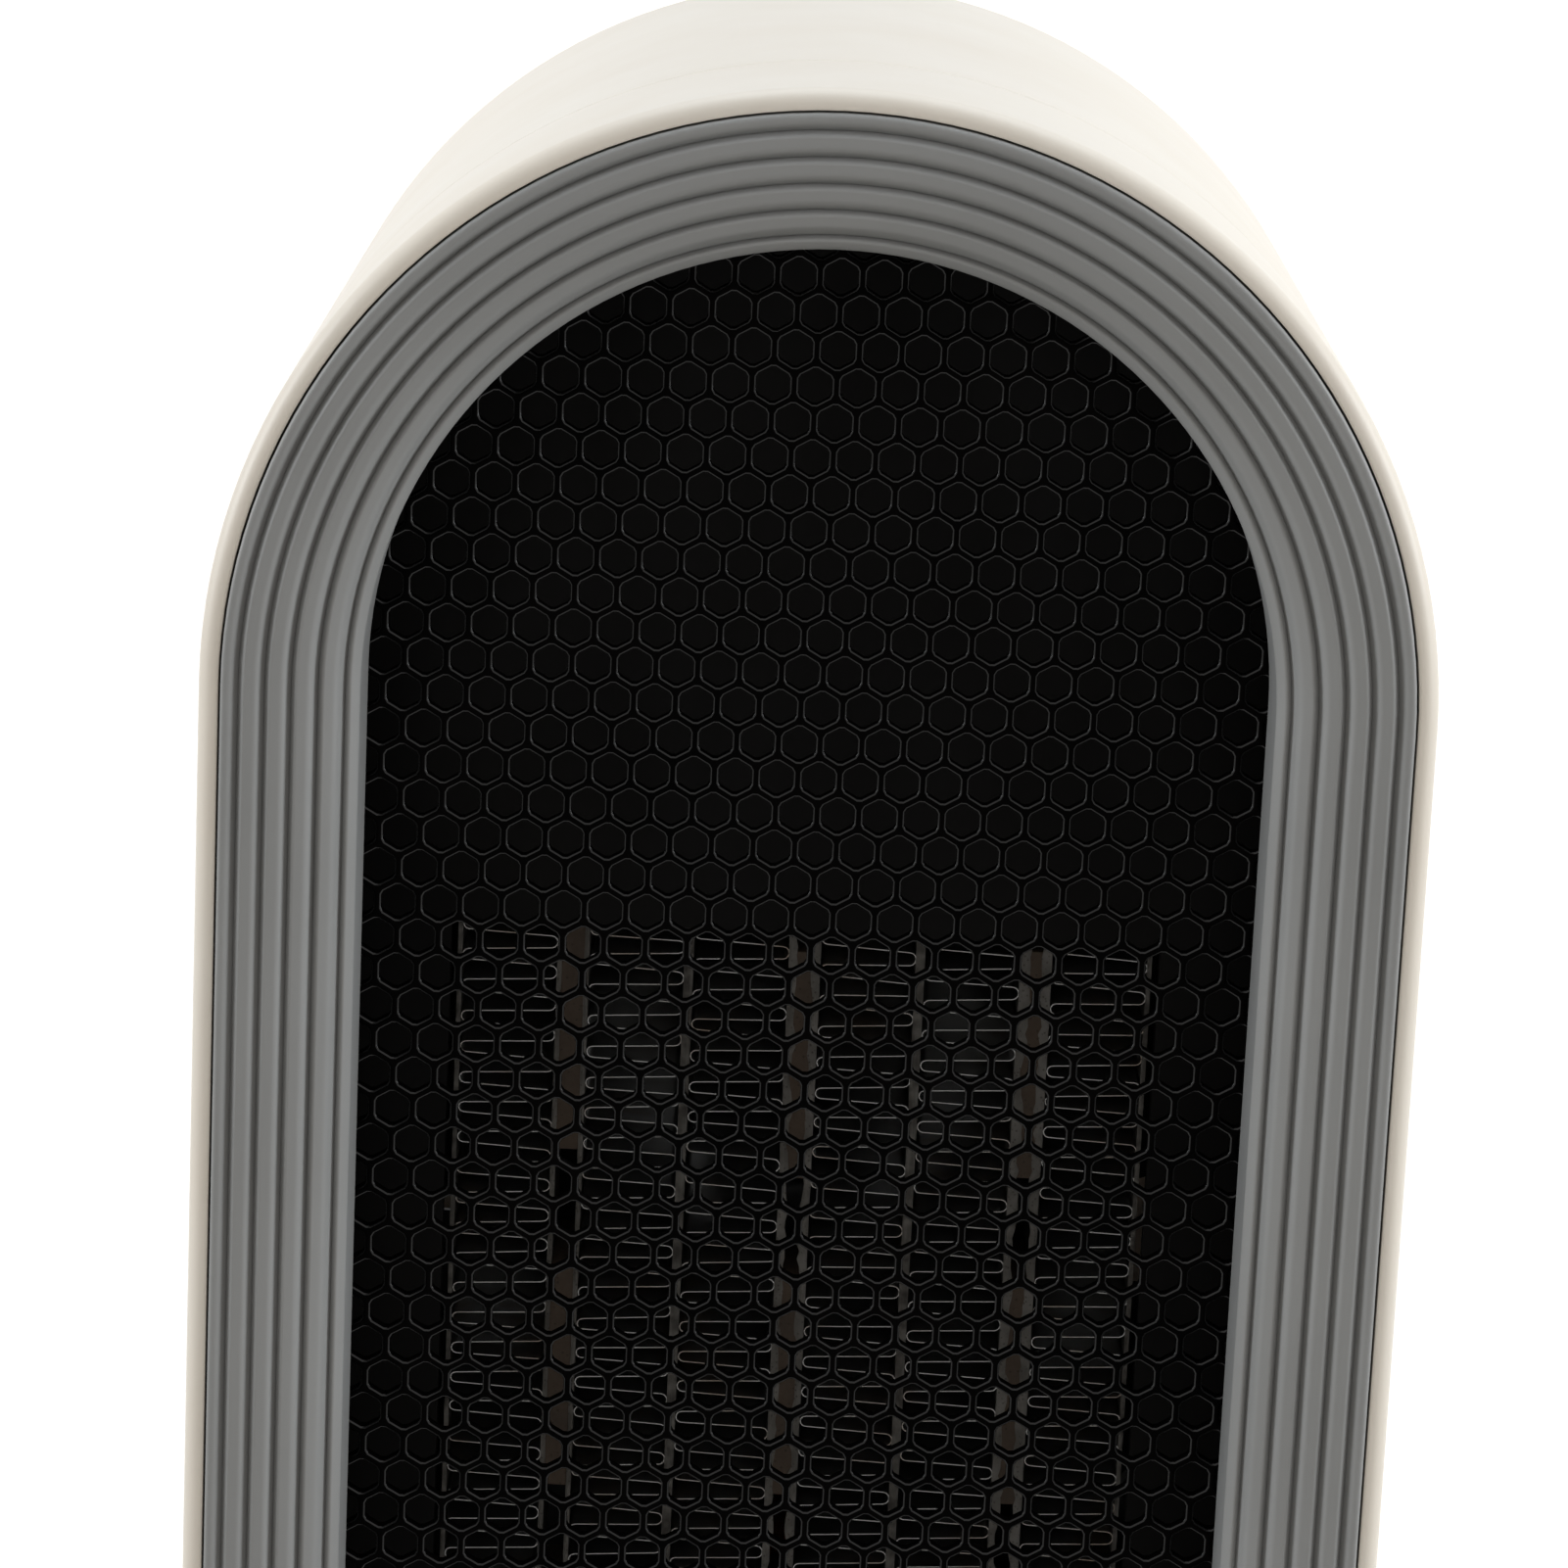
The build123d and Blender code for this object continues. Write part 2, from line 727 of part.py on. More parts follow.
def base_outline(inset):
    width = 2 * (case_radius - plinth_inset - inset)
    length = case_depth - 2 * (plinth_set_back + inset)
    centre_y = rim_y + case_depth / 2
    return Pos(0, centre_y) * RectangleRounded(width, length, plinth_corner - inset)


def post_depths():
    """Depths of the base's posts: one pair under each shell."""
    return (plinth_set_back + 1.1 * boss_width, case_depth - plinth_set_back - 1.1 * boss_width)


def base_plinth():
    """A shallow tray under the case with four posts for its screws."""
    plinth = Pos(0, 0, plinth_bottom_z) * extrude(base_outline(0), amount=plinth_height)
    plinth -= Pos(0, 0, plinth_floor_z) * extrude(base_outline(plinth_wall), amount=plinth_height)
    for depth in post_depths():
        for x in (-base_post_x, base_post_x):
            plinth += upright(Rectangle(boss_width, boss_width), plinth_floor_z, case_floor_z, x, depth)
            plinth -= upright(screw_shape(screw_radius), plinth_bottom_z, case_floor_z, x, depth)
    side = plunger_width + 2 * plunger_hole_gap
    return plinth - upright(Rectangle(side, side), plinth_bottom_z, plinth_floor_z, 0, tip_switch_depth)


def rubber_feet():
    foot = Rectangle(foot_width, foot_width)
    places = [(x, depth) for depth in post_depths() for x in (-foot_x, foot_x)]
    return [upright(foot, 0, foot_height, x, depth) for x, depth in places]


def base_screws():
    """Screws that go up through the plinth's posts into the shells' floors."""
    screws = []
    low = plinth_bottom_z - base_head_height
    for depth in post_depths():
        for x in (-base_post_x, base_post_x):
            head = upright(screw_shape(screw_head_radius), low, plinth_bottom_z, x, depth)
            screws.append(head + upright(screw_shape(screw_radius), low, case_inner_z, x, depth))
    return screws


def tip_plunger():
    """A square bar held up by the floor, with a collar that stops it when it drops."""
    collar_low = plinth_floor_z + plunger_travel + plunger_stop_gap
    collar_high = collar_low + plunger_collar
    stem_top = case_inner_z + tip_switch_stand - plunger_top_gap
    foot = Rectangle(plunger_width, plunger_width)
    collar = Rectangle(plunger_width + 2 * plunger_collar, plunger_width + 2 * plunger_collar)
    stem = Rectangle(plunger_stem_width, plunger_stem_width)
    plunger = upright(foot, plunger_floor_gap, collar_high, 0, tip_switch_depth)
    plunger += upright(collar, collar_low, collar_high, 0, tip_switch_depth)
    return plunger + upright(stem, collar_high, stem_top, 0, tip_switch_depth)


def tip_switch():
    low = case_inner_z + tip_switch_stand
    near = tip_switch_depth - tip_switch_thickness / 2
    return block(tip_switch_width, near, near + tip_switch_thickness, low, low + tip_switch_height)


def terminal_block():
    """Three clamps in a row, on the case's floor."""
    near = case_depth - wall - block_room - block_depth
    body = block(block_width, near, near + block_depth, case_inner_z, case_inner_z + block_height, block_x)
    clamp_low = case_inner_z + (block_height - clamp_height) / 2
    for index in range(3):
        x = block_x + (index - 1) * block_width / 3
        body -= block(clamp_width, near, near + clamp_depth, clamp_low, clamp_low + clamp_height, x)
    return body


def cord_gland():
    """A hexagonal gland whose neck fills the hole in the back wall."""
    place = Pos(0, control_z)
    gland = slab(place * RegularPolygon(gland_neck_radius, 6), case_depth - wall, case_depth)
    gland += slab(place * RegularPolygon(gland_neck_radius + gland_flange, 6), case_depth, gland_back)
    return gland - slab(place * RegularPolygon(gland_bore, 6), case_depth - wall, gland_back)


left_x = -knob_spacing / 2
right_x = knob_spacing / 2
frame_low = element_bottom_z - frame_height
frame_high = element_top_z + frame_height

nodes = {
    "front_shell": front_shell(),
    "rear_shell": rear_shell(),
    "bezel_ring": bezel_ring(),
    "front_grille": front_grille(),
    "outlet_tray": outlet_tray(),
    "ceramic_stones": ceramic_stones(),
    "electrode_plates": electrode_plates(),
    "channel_plates": channel_plates(),
    "heating_fins": heating_fins(),
    "element_top_frame": element_frame(element_top_z, frame_high),
    "element_bottom_frame": element_frame(frame_low, element_bottom_z),
    "element_terminals": element_terminals(),
    "thermal_cutout": thermal_cutout(),
    "thermal_fuse": thermal_fuse(),
    "fan_shroud": fan_shroud(),
    "fan_impeller": fan_impeller(),
    "motor_stator": motor_stator(),
    "motor_coil": motor_coil(),
    "motor_front_bracket": motor_front_bracket(),
    "motor_rear_bracket": motor_rear_bracket(),
    "motor_rotor": motor_rotor(),
    "motor_shaft": motor_shaft(),
    "case_screws": case_screws(),
    "control_panel": control_panel(),
    "mode_knob": knob(left_x),
    "mode_spindle": spindle(left_x),
    "mode_switch": switch_body(left_x),
    "thermostat_knob": knob(right_x),
    "thermostat_spindle": spindle(right_x),
    "thermostat_body": switch_body(right_x),
    "indicator_lens": indicator_lens(),
    "indicator_lamp": indicator_lamp(),
    "base_plinth": base_plinth(),
    "rubber_feet": rubber_feet(),
    "base_screws": base_screws(),
    "tip_plunger": tip_plunger(),
    "tip_switch": tip_switch(),
    "terminal_block": terminal_block(),
    "cord_gland": cord_gland(),
}

os.makedirs("parts", exist_ok=True)
for name, shape in nodes.items():
    if isinstance(shape, list):
        shape = Compound(children=shape)
    export_step(shape, f"parts/{name}.step")
print(len(nodes), "nodes, case top", round(case_top_z, 2), "rim y", round(rim_y, 2))
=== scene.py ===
import math

import bmesh
import bpy
from mathutils import Matrix, Vector, noise

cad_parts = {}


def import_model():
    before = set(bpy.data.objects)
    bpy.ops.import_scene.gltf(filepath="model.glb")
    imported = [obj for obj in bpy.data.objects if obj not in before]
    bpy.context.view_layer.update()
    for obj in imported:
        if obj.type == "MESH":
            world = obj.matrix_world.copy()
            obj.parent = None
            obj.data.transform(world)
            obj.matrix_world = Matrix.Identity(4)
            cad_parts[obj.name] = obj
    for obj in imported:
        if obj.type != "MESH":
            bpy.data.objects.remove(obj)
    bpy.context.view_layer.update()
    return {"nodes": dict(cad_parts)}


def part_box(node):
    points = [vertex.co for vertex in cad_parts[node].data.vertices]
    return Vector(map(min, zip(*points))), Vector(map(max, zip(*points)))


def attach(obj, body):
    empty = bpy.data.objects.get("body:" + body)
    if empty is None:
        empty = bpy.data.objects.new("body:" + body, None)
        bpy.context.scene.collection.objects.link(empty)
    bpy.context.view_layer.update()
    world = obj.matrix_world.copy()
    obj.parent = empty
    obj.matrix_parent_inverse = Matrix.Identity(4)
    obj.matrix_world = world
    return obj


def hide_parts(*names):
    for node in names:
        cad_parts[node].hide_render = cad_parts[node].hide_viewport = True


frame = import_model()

# A small upright ceramic heater with a half-round top, in metres.
# Depths are counted from the rim of the case front towards the back.

# Places read from the construction
case_low, case_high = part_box("front_shell")
bezel_low, bezel_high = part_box("bezel_ring")
fins_low, fins_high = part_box("heating_fins")
rear_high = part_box("rear_shell")[1]
panel_low, panel_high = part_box("control_panel")
plinth_low, plinth_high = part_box("base_plinth")
plinth_middle_y = (plinth_low.y + plinth_high.y) / 2
rim_y = case_low.y
case_radius = case_high.x
case_floor_z = case_low.z
upper_z = case_high.z - case_radius
bezel_radius = bezel_high.x
lower_z = bezel_low.z + bezel_radius
middle_z = (upper_z + lower_z) / 2
case_depth = rear_high.y - rim_y
control_z = (panel_low.z + panel_high.z) / 2
fins_bottom = fins_low.z
fins_top = fins_high.z
element_depth = fins_low.y - rim_y
element_back = fins_high.y - rim_y

# Case
wall = 0.002
front_wall = 0.0026
case_corner = 0.008
rim_round = 0.0018
parting_depth = 0.026
parting_gap = 0.00015
parting_round = 0.0003
back_round = 0.007
pocket_radius = 0.05795
pocket_lip = 0.0001
ledge_radius = 0.0494
ledge_front = 0.0119
ledge_back = 0.0139
hollow_inset = 0.0026
hollow_radius = 0.0605
turn_steps = 72
corner_x = case_radius - case_corner
corner_z = case_floor_z + case_corner

# Ribbed frame round the outlet
outlet_radius = 0.04442
bezel_set_back = -0.0003
bezel_drop = 0.0059
bezel_turn = 0.0142
bezel_fullness = 2.4
bezel_edge_round = 0.00045
groove_count = 5
groove_pitch = 0.002545
first_groove_inset = 0.00169
groove_depth = 0.00096
groove_outer_reach = 0.00112
groove_inner_reach = 0.00072
groove_sharpness = 2.2
groove_points = 9
bezel_back = 0.01185

# Mesh
mesh_front = 0.0125
mesh_thickness = 0.0014
mesh_pitch = 0.00414
mesh_web = 0.00078
mesh_edge_round = 0.00014
mesh_corner_cut = 0.00027
mesh_border_radius = 0.049
mesh_hole_reach = 0.0463
mesh_first_row = 0.00095
mesh_shift = 0.00045

# Heating element
module_width = 0.02385
stone_thickness = 0.0024
stone_length = 0.0245
stone_step = 0.0371
stones_in_row = 3
electrode_thickness = 0.00045
fin_width = 0.0098
fin_spacing = 0.0016
fin_bend = 0.00062
fin_metal_thickness = 0.0001

# Fan
blade_count = 7
blade_root = 0.015
blade_clearance = 0.0003
blade_chord = 0.02
blade_hump = 0.1
blade_lean = 40
blade_growth = 1.055
blade_twist = -1.4
blade_thickness = 0.0014
blade_steps = 10
hub_radius = 0.017
hub_round = 0.003
hub_wall = 0.002
shaft_boss = 0.006
shaft_bore = 0.0021

# Controls
panel_recess_depth = 0.0012
panel_half_width = panel_high.x
panel_half_height = (panel_high.z - panel_low.z) / 2
panel_half_run = panel_half_width - panel_half_height
knob_spacing = 0.054
knob_radius = 0.012
knob_ribs = 20
knob_rib_depth = 0.0007
knob_front_edge = 0.0016
knob_back_edge = 0.0006
spindle_hole = 0.0036
lens_radius = 0.0025

# Inlet slots in the back
slot_zone_radius = 0.041
slot_height = 0.0032
slot_pitch = 0.006
slot_rows = 6
slot_rib = 0.003

# Base, screws, gland and plunger
plinth_corner = 0.014
plinth_wall = 0.0022
foot_width = 0.013
case_screw_x = 0.048
screw_bore = 0.003
shank_hole = 0.0017
shank_radius = 0.0015
tube_radius = 0.0042
base_shank_half = 0.0013
screw_head_radius = 0.0028
screw_head_height = 0.002
screw_head_half_flat = 0.00242
cross_arm = 0.0015
cross_half = 0.0003
cross_depth = 0.0009
cross_taper = 0.7
gland_hole = 0.0061
gland_radius = 0.0085
gland_bore = 0.0036
gland_neck = 0.0059
gland_chamfer = 0.0009
plunger_width = 0.008
collar_low = 0.0084
collar_high = 0.0097
plunger_hole = 0.0086

sharp_angle = math.radians(38)
merge_distance = 0.000002


# Drawing helpers

def at(x, depth, z=upper_z):
    return Vector((x, rim_y + depth, z))


def arc(x, depth, radius, first, last, steps):
    """Points of an arc in a section: angles in degrees, 0 points outwards and 90 points to the back."""
    points = []
    for step in range(steps + 1):
        angle = math.radians(first + (last - first) * step / steps)
        points.append((x + radius * math.cos(angle), depth + radius * math.sin(angle)))
    return points


def draw(mesh, points, closed=False):
    """Edges from point to point."""
    corners = [mesh.verts.new(point) for point in points]
    pairs = list(zip(corners, corners[1:]))
    if closed:
        pairs.append((corners[-1], corners[0]))
    return corners + [mesh.edges.new(pair) for pair in pairs]


def section(mesh, points, z=upper_z, closed=False):
    """A section drawn at the right side: each point is a distance from the middle and a depth."""
    return draw(mesh, [at(x, depth, z) for x, depth in points], closed)


def only(kind, parts):
    return [part for part in parts if isinstance(part, kind)]


def carry(mesh, chain, move):
    """Pulls a chain of edges along a straight move and leaves faces behind it."""
    grown = bmesh.ops.extrude_edge_only(mesh, edges=only(bmesh.types.BMEdge, chain))["geom"]
    corners = only(bmesh.types.BMVert, grown)
    bmesh.ops.translate(mesh, vec=move, verts=corners)
    fresh = set(corners)
    edges = [edge for edge in only(bmesh.types.BMEdge, grown) if fresh.issuperset(edge.verts)]
    return corners + edges


def swing(mesh, chain, centre, degrees, steps, axis=(0, -1, 0)):
    """Turns a chain of edges about an axis and leaves faces behind it."""
    done = bmesh.ops.spin(
        mesh, geom=chain, cent=centre, axis=axis, dvec=(0, 0, 0), angle=math.radians(degrees),
        steps=steps, use_merge=False, use_normal_flip=False, use_duplicate=False,
    )
    return done["geom_last"]


def sweep(mesh, chain, moves, axis=(0, -1, 0)):
    """Takes a section along a path of straight moves and turns."""
    for move in moves:
        if isinstance(move, Vector):
            chain = carry(mesh, chain, move)
        else:
            centre, degrees, steps = move
            chain = swing(mesh, chain, centre, degrees, steps, axis)
    return chain


def pill_path():
    """Round the outlet: two half circles joined by straight sides."""
    drop = Vector((0, 0, lower_z - upper_z))
    return [(at(0, 0), 180, turn_steps), drop, (at(0, 0, lower_z), 180, turn_steps), -drop]


def arch_path():
    """Round the case: over the top, down, and along the floor with two rounded corners."""
    drop = Vector((0, 0, corner_z - upper_z))
    left = (at(-corner_x, 0, corner_z), 90, 12)
    right = (at(corner_x, 0, corner_z), 90, 12)
    return [(at(0, 0), 180, turn_steps), drop, left, Vector((2 * corner_x, 0, 0)), right, -drop]


def slot_path(half_run, z, steps=16):
    """Round a lying slot whose straight part is twice half_run long."""
    run = Vector((2 * half_run, 0, 0))
    right = at(half_run, 0, z)
    left = at(-half_run, 0, z)
    return [(right, 90, steps // 2), -run, (left, 180, steps), run, (right, 90, steps // 2)]


def round_form(mesh, points, x, steps=32, z=control_z):
    """A round form about an axis that runs front to back: each point is a radius and a depth."""
    chain = draw(mesh, [at(x + radius, depth, z) for radius, depth in points])
    swing(mesh, chain, at(x, 0, z), 360, steps)


def repeat(mesh, step, times):
    """Copies a mesh along a straight line."""
    parts = mesh.verts[:] + mesh.edges[:] + mesh.faces[:]
    bmesh.ops.spin(
        mesh, geom=parts, cent=(0, 0, 0), axis=(0, 1, 0), dvec=step, angle=0, steps=times,
        use_merge=False, use_normal_flip=False, use_duplicate=True,
    )


def rotation(degrees, axis, size=3):
    return Matrix.Rotation(math.radians(degrees), size, axis)


def merge(mesh):
    bmesh.ops.remove_doubles(mesh, verts=mesh.verts, dist=merge_distance)


def close_plane(mesh, place, axis=1):
    """Fills the open edges that lie in one plane, holes left open, and keeps it flat in shading."""
    merge(mesh)
    rim = []
    for edge in mesh.edges:
        if edge.is_boundary and all(abs(corner.co[axis] - place) < 0.00001 for corner in edge.verts):
            rim.append(edge)
    for edge in rim:
        edge.smooth = False
    bmesh.ops.triangle_fill(mesh, edges=rim, use_beauty=True, use_dissolve=False)


def close_depths(mesh, *depths):
    for depth in depths:
        close_plane(mesh, rim_y + depth)


def bar(mesh, low, high, rounding, segments=2):
    """A block between two corners with rounded edges."""
    made = bmesh.ops.create_cube(mesh, size=1)["verts"]
    size = high - low
    bmesh.ops.scale(mesh, vec=size, verts=made)
    bmesh.ops.translate(mesh, vec=(low + high) / 2, verts=made)
    edges = list({edge for corner in made for edge in corner.link_edges})
    bmesh.ops.bevel(
        mesh, geom=edges, offset=rounding, affect="EDGES", segments=segments, profile=0.5, material=-1,
    )


def as_data(mesh, name):
    """Ends the work on a mesh and gives its data."""
    data = bpy.data.meshes.new(name)
    mesh.to_mesh(data)
    mesh.free()
    return data


def add_object(name, data):
    made = bpy.data.objects.new(name, data)
    bpy.context.collection.objects.link(made)
    return made


def as_piece(mesh, name, material, body, slot, *replaced, sharp=sharp_angle):
    """Makes the finished piece and says what it rides on and which solids it stands for."""
    merge(mesh)
    bmesh.ops.recalc_face_normals(mesh, faces=mesh.faces)
    for face in mesh.faces:
        face.smooth = True
    for edge in mesh.edges:
        if len(edge.link_faces) == 2 and edge.calc_face_angle() > sharp:
            edge.smooth = False
    piece = add_object(name, as_data(mesh, name))
    piece.data.materials.append(material)
    even = piece.modifiers.new("even_shading", "WEIGHTED_NORMAL")
    even.keep_sharp = True
    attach(piece, body)
    if replaced:
        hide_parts(*replaced)
    return piece


# Material helpers

def paint(red, green, blue):
    """A screen colour from 0 to 255 as the shaders need it."""
    channels = []
    for level in (red, green, blue):
        level = level / 255
        channels.append(level / 12.92 if level < 0.04045 else ((level + 0.055) / 1.055) ** 2.4)
    return (*channels, 1.0)


class Recipe:
    """A material under construction: its node tree, its shader and the place on the piece."""

    def __init__(self, name):
        self.material = bpy.data.materials.new(name)
        self.material.use_nodes = True
        self.tree = self.material.node_tree
        self.shader = self.tree.nodes["Principled BSDF"]
        self.place = self.node("ShaderNodeTexCoord").outputs["Object"]

    def node(self, kind, **settings):
        made = self.tree.nodes.new(kind)
        for key, value in settings.items():
            setattr(made, key, value)
        return made

    def join(self, source, target):
        self.tree.links.new(source, target)

    def stretched(self, scale):
        """The place on the piece, stretched or squeezed."""
        mapping = self.node("ShaderNodeMapping")
        mapping.inputs["Scale"].default_value = scale
        self.join(self.place, mapping.inputs["Vector"])
        return mapping.outputs["Vector"]

    def cloud(self, size, detail, place=None):
        """Soft noise with blotches of about this size."""
        made = self.node("ShaderNodeTexNoise")
        made.inputs["Scale"].default_value = 1 / size
        made.inputs["Detail"].default_value = detail
        self.join(place or self.place, made.inputs["Vector"])
        return made.outputs["Fac"]

    def cells(self, size):
        """Distance to the nearest of many scattered points."""
        made = self.node("ShaderNodeTexVoronoi")
        made.inputs["Scale"].default_value = 1 / size
        self.join(self.place, made.inputs["Vector"])
        return made.outputs["Distance"]

    def between(self, factor, low, high, first, second):
        """A number that goes from first to second while the factor goes from low to high."""
        made = self.node("ShaderNodeMapRange")
        for key, value in zip(("From Min", "From Max", "To Min", "To Max"), (low, high, first, second)):
            made.inputs[key].default_value = value
        self.join(factor, made.inputs["Value"])
        return made.outputs["Result"]

    def tint(self, factor, first, second, low=0.35, high=0.65):
        """A colour that goes from first to second while the factor goes from low to high."""
        ramp = self.node("ShaderNodeValToRGB")
        for end, place, colour in zip(ramp.color_ramp.elements, (low, high), (first, second)):
            end.position = place
            end.color = paint(*colour)
        self.join(factor, ramp.inputs["Fac"])
        return ramp.outputs["Color"]

    def blend(self, factor, first, second):
        """A plain colour laid over the first one where the factor says so."""
        made = self.node("ShaderNodeMix", data_type="RGBA")
        self.join(factor, made.inputs["Factor"])
        self.join(first, made.inputs["A"])
        made.inputs["B"].default_value = paint(*second)
        return made.outputs["Result"]

    def relief(self, height, depth, under=None):
        """Small ups and downs of the surface, depth metres high."""
        made = self.node("ShaderNodeBump")
        made.inputs["Strength"].default_value = 1.0
        made.inputs["Distance"].default_value = depth
        self.join(height, made.inputs["Height"])
        if under:
            self.join(under, made.inputs["Normal"])
        return made.outputs["Normal"]

    def worn_edges(self, reach):
        """1 on the edges of the piece and 0 on its faces."""
        soft = self.node("ShaderNodeBevel", samples=4)
        soft.inputs["Radius"].default_value = reach
        true = self.node("ShaderNodeNewGeometry").outputs["Normal"]
        turned = self.node("ShaderNodeVectorMath", operation="DOT_PRODUCT")
        self.join(soft.outputs["Normal"], turned.inputs[0])
        self.join(true, turned.inputs[1])
        return self.between(turned.outputs["Value"], 0.8, 0.99, 1.0, 0.0)

    def finished(self, colour, gloss, smooth, dull, height, depth, under=None, metal=0.0, shine=0.5):
        """Joins colour, roughness and relief to the shader and gives the material."""
        inputs = self.shader.inputs
        inputs["Metallic"].default_value = metal
        inputs["Specular IOR Level"].default_value = shine
        self.join(colour, inputs["Base Color"])
        self.join(self.between(gloss, 0.3, 0.7, smooth, dull), inputs["Roughness"])
        self.join(self.relief(height, depth, under), inputs["Normal"])
        return self.material


def moulded(name, light, dark, rough, shine=0.5, edge=None):
    """Moulded plastic: a fine grain, slow changes of colour and gloss, and edges rubbed by handling."""
    recipe = Recipe(name)
    slow = recipe.cloud(0.03, 4.0)
    fine = recipe.cloud(0.0004, 2.0)
    colour = recipe.tint(slow, light, dark)
    if edge:
        colour = recipe.blend(recipe.worn_edges(0.0004), colour, edge)
    smears = recipe.cloud(0.012, 5.0, recipe.stretched((1, 1, 0.4)))
    flow = recipe.relief(slow, 0.0001)
    return recipe.finished(colour, smears, rough - 0.06, rough + 0.06, fine, 0.00001, flow, shine=shine)


def metal(
    name, light, dark, smooth, dull, brush,
    scratch=0.0008, depth=0.000004, patch=(0.006, 5.0), span=(0.35, 0.7),
):
    """Bare metal: a brushed or rolled surface with duller patches."""
    recipe = Recipe(name)
    patches = recipe.cloud(*patch)
    lines = recipe.cloud(scratch, 2.0, recipe.stretched(brush))
    colour = recipe.tint(patches, light, dark, *span)
    return recipe.finished(colour, patches, smooth, dull, lines, depth, metal=1.0)


def black_mesh(name, shine, rough, pits):
    """Black paint on the mesh: matt on its face and rubbed to a low gloss round the openings."""
    recipe = Recipe(name)
    slow = recipe.cloud(0.02, 4.0)
    fine = recipe.cloud(0.0002, 3.0)
    colour = recipe.tint(slow, (3, 3, 3), (8, 7, 7))
    return recipe.finished(colour, fine, rough, rough + 0.12, fine, pits, shine=shine)


def speckled(name, light, dark, dots, smooth, dull, depth, blotch, grain, speck, span=(0.35, 0.65)):
    """Fired stone and cured silicone: darker specks and a dry, slightly rough face."""
    recipe = Recipe(name)
    slow = recipe.cloud(*blotch)
    fine = recipe.cloud(*grain)
    size, reach, share = speck
    specks = recipe.between(recipe.cells(size), 0.1, reach, share, 0.0)
    colour = recipe.blend(specks, recipe.tint(slow, light, dark, *span), dots)
    return recipe.finished(colour, fine, smooth, dull, fine, depth, shine=0.3)


def tarnished_plate_with_painted_shade():
    """The thin plates of the element: aluminium gone dull and blotchy in the hot air, with its base colour
    darkened further as painted shade for the tray's shadow.
    """
    recipe = Recipe("tarnished_plate_with_painted_shade")
    blotches = recipe.cloud(0.0012, 5.0)
    streaks = recipe.cloud(0.0005, 3.0, recipe.stretched((1, 1, 0.1)))
    # Dark base tones: dull oxide plus painted shade of the tray's shadow.
    tone = recipe.tint(blotches, (92, 89, 84), (58, 54, 50))
    lines = recipe.between(streaks, 0.5, 0.65, 0.0, 0.5)
    colour = recipe.blend(lines, tone, (112, 110, 106))
    return recipe.finished(colour, blotches, 0.5, 0.75, blotches, 0.00005, metal=0.3)


def banded(name, direction, light, dark, smooth, depth, metal, bands, wander, patch):
    """Stacked plates or close turns of wire: fine bands one way, with duller patches."""
    recipe = Recipe(name)
    layers = recipe.node("ShaderNodeTexWave", bands_direction=direction)
    layers.inputs["Scale"].default_value = bands
    layers.inputs["Distortion"].default_value = wander
    recipe.join(recipe.place, layers.inputs["Vector"])
    patches = recipe.cloud(patch, 4.0)
    colour = recipe.tint(patches, light, dark)
    return recipe.finished(colour, patches, smooth, smooth + 0.2, layers.outputs["Fac"], depth, metal=metal)


def pebbled_rubber():
    """Foot rubber: dull, dusty and finely pebbled."""
    recipe = Recipe("foot_rubber")
    dust = recipe.cloud(0.006, 5.0)
    colour = recipe.tint(dust, (34, 34, 34), (62, 60, 57), high=0.7)
    return recipe.finished(colour, dust, 0.7, 0.9, recipe.cells(0.0006), 0.00004, shine=0.2)


def amber_lens():
    """Clear orange plastic with faint flow lines."""
    recipe = Recipe("amber_lens")
    flow = recipe.cloud(0.002, 3.0)
    recipe.shader.inputs["Transmission Weight"].default_value = 0.7
    colour = recipe.tint(flow, (236, 120, 40), (214, 88, 26))
    return recipe.finished(colour, flow, 0.08, 0.18, flow, 0.00002)


case_plastic = moulded("case_plastic", (238, 230, 218), (235, 226, 213), 0.42, edge=(242, 236, 226))
frame_plastic = moulded("frame_plastic", (153, 154, 154), (147, 148, 148), 0.45)
control_plastic = moulded("control_plastic", (160, 159, 156), (150, 149, 147), 0.4, edge=(172, 171, 168))
black_plastic = moulded("black_plastic", (20, 20, 20), (28, 27, 26), 0.6, shine=0.12)
tray_plastic = moulded("tray_plastic", (13, 12, 12), (18, 17, 16), 0.6, shine=0.1)
fan_plastic = moulded("fan_plastic", (44, 44, 46), (36, 36, 38), 0.45)
block_plastic = moulded("block_plastic", (214, 206, 188), (198, 190, 172), 0.5)
mark_paint = moulded("mark_paint", (246, 244, 238), (236, 233, 226), 0.5)
mesh_paint = black_mesh("black_mesh", 0.01, 0.5, 0.000006)
mesh_edge = black_mesh("black_mesh_edge", 0.27, 0.2, 0.000001)
stone_ceramic = speckled(
    "ceramic_stone", (104, 90, 78), (84, 74, 66), (60, 52, 46), smooth=0.6, dull=0.85, depth=0.00004,
    blotch=(0.008, 5.0), grain=(0.0005, 4.0), speck=(0.0007, 0.25, 0.6), span=(0.3, 0.7),
)
stone_sealant = speckled(
    "pale_sealant", (150, 148, 145), (112, 110, 106), (66, 60, 54), smooth=0.5, dull=0.75, depth=0.00012,
    blotch=(0.004, 4.0), grain=(0.0006, 3.0), speck=(0.0005, 0.3, 0.7),
)
fin_metal = metal(
    "folded_aluminium", (140, 140, 138), (118, 102, 86), smooth=0.34, dull=0.52, brush=(1, 0.05, 1),
    scratch=0.0004, depth=0.00001, patch=(0.009, 4.0), span=(0.5, 0.78),
)
plate_metal = tarnished_plate_with_painted_shade()
tab_metal = metal(
    "tab_metal", (206, 196, 168), (168, 156, 128), smooth=0.22, dull=0.42, brush=(1, 1, 0.1),
)
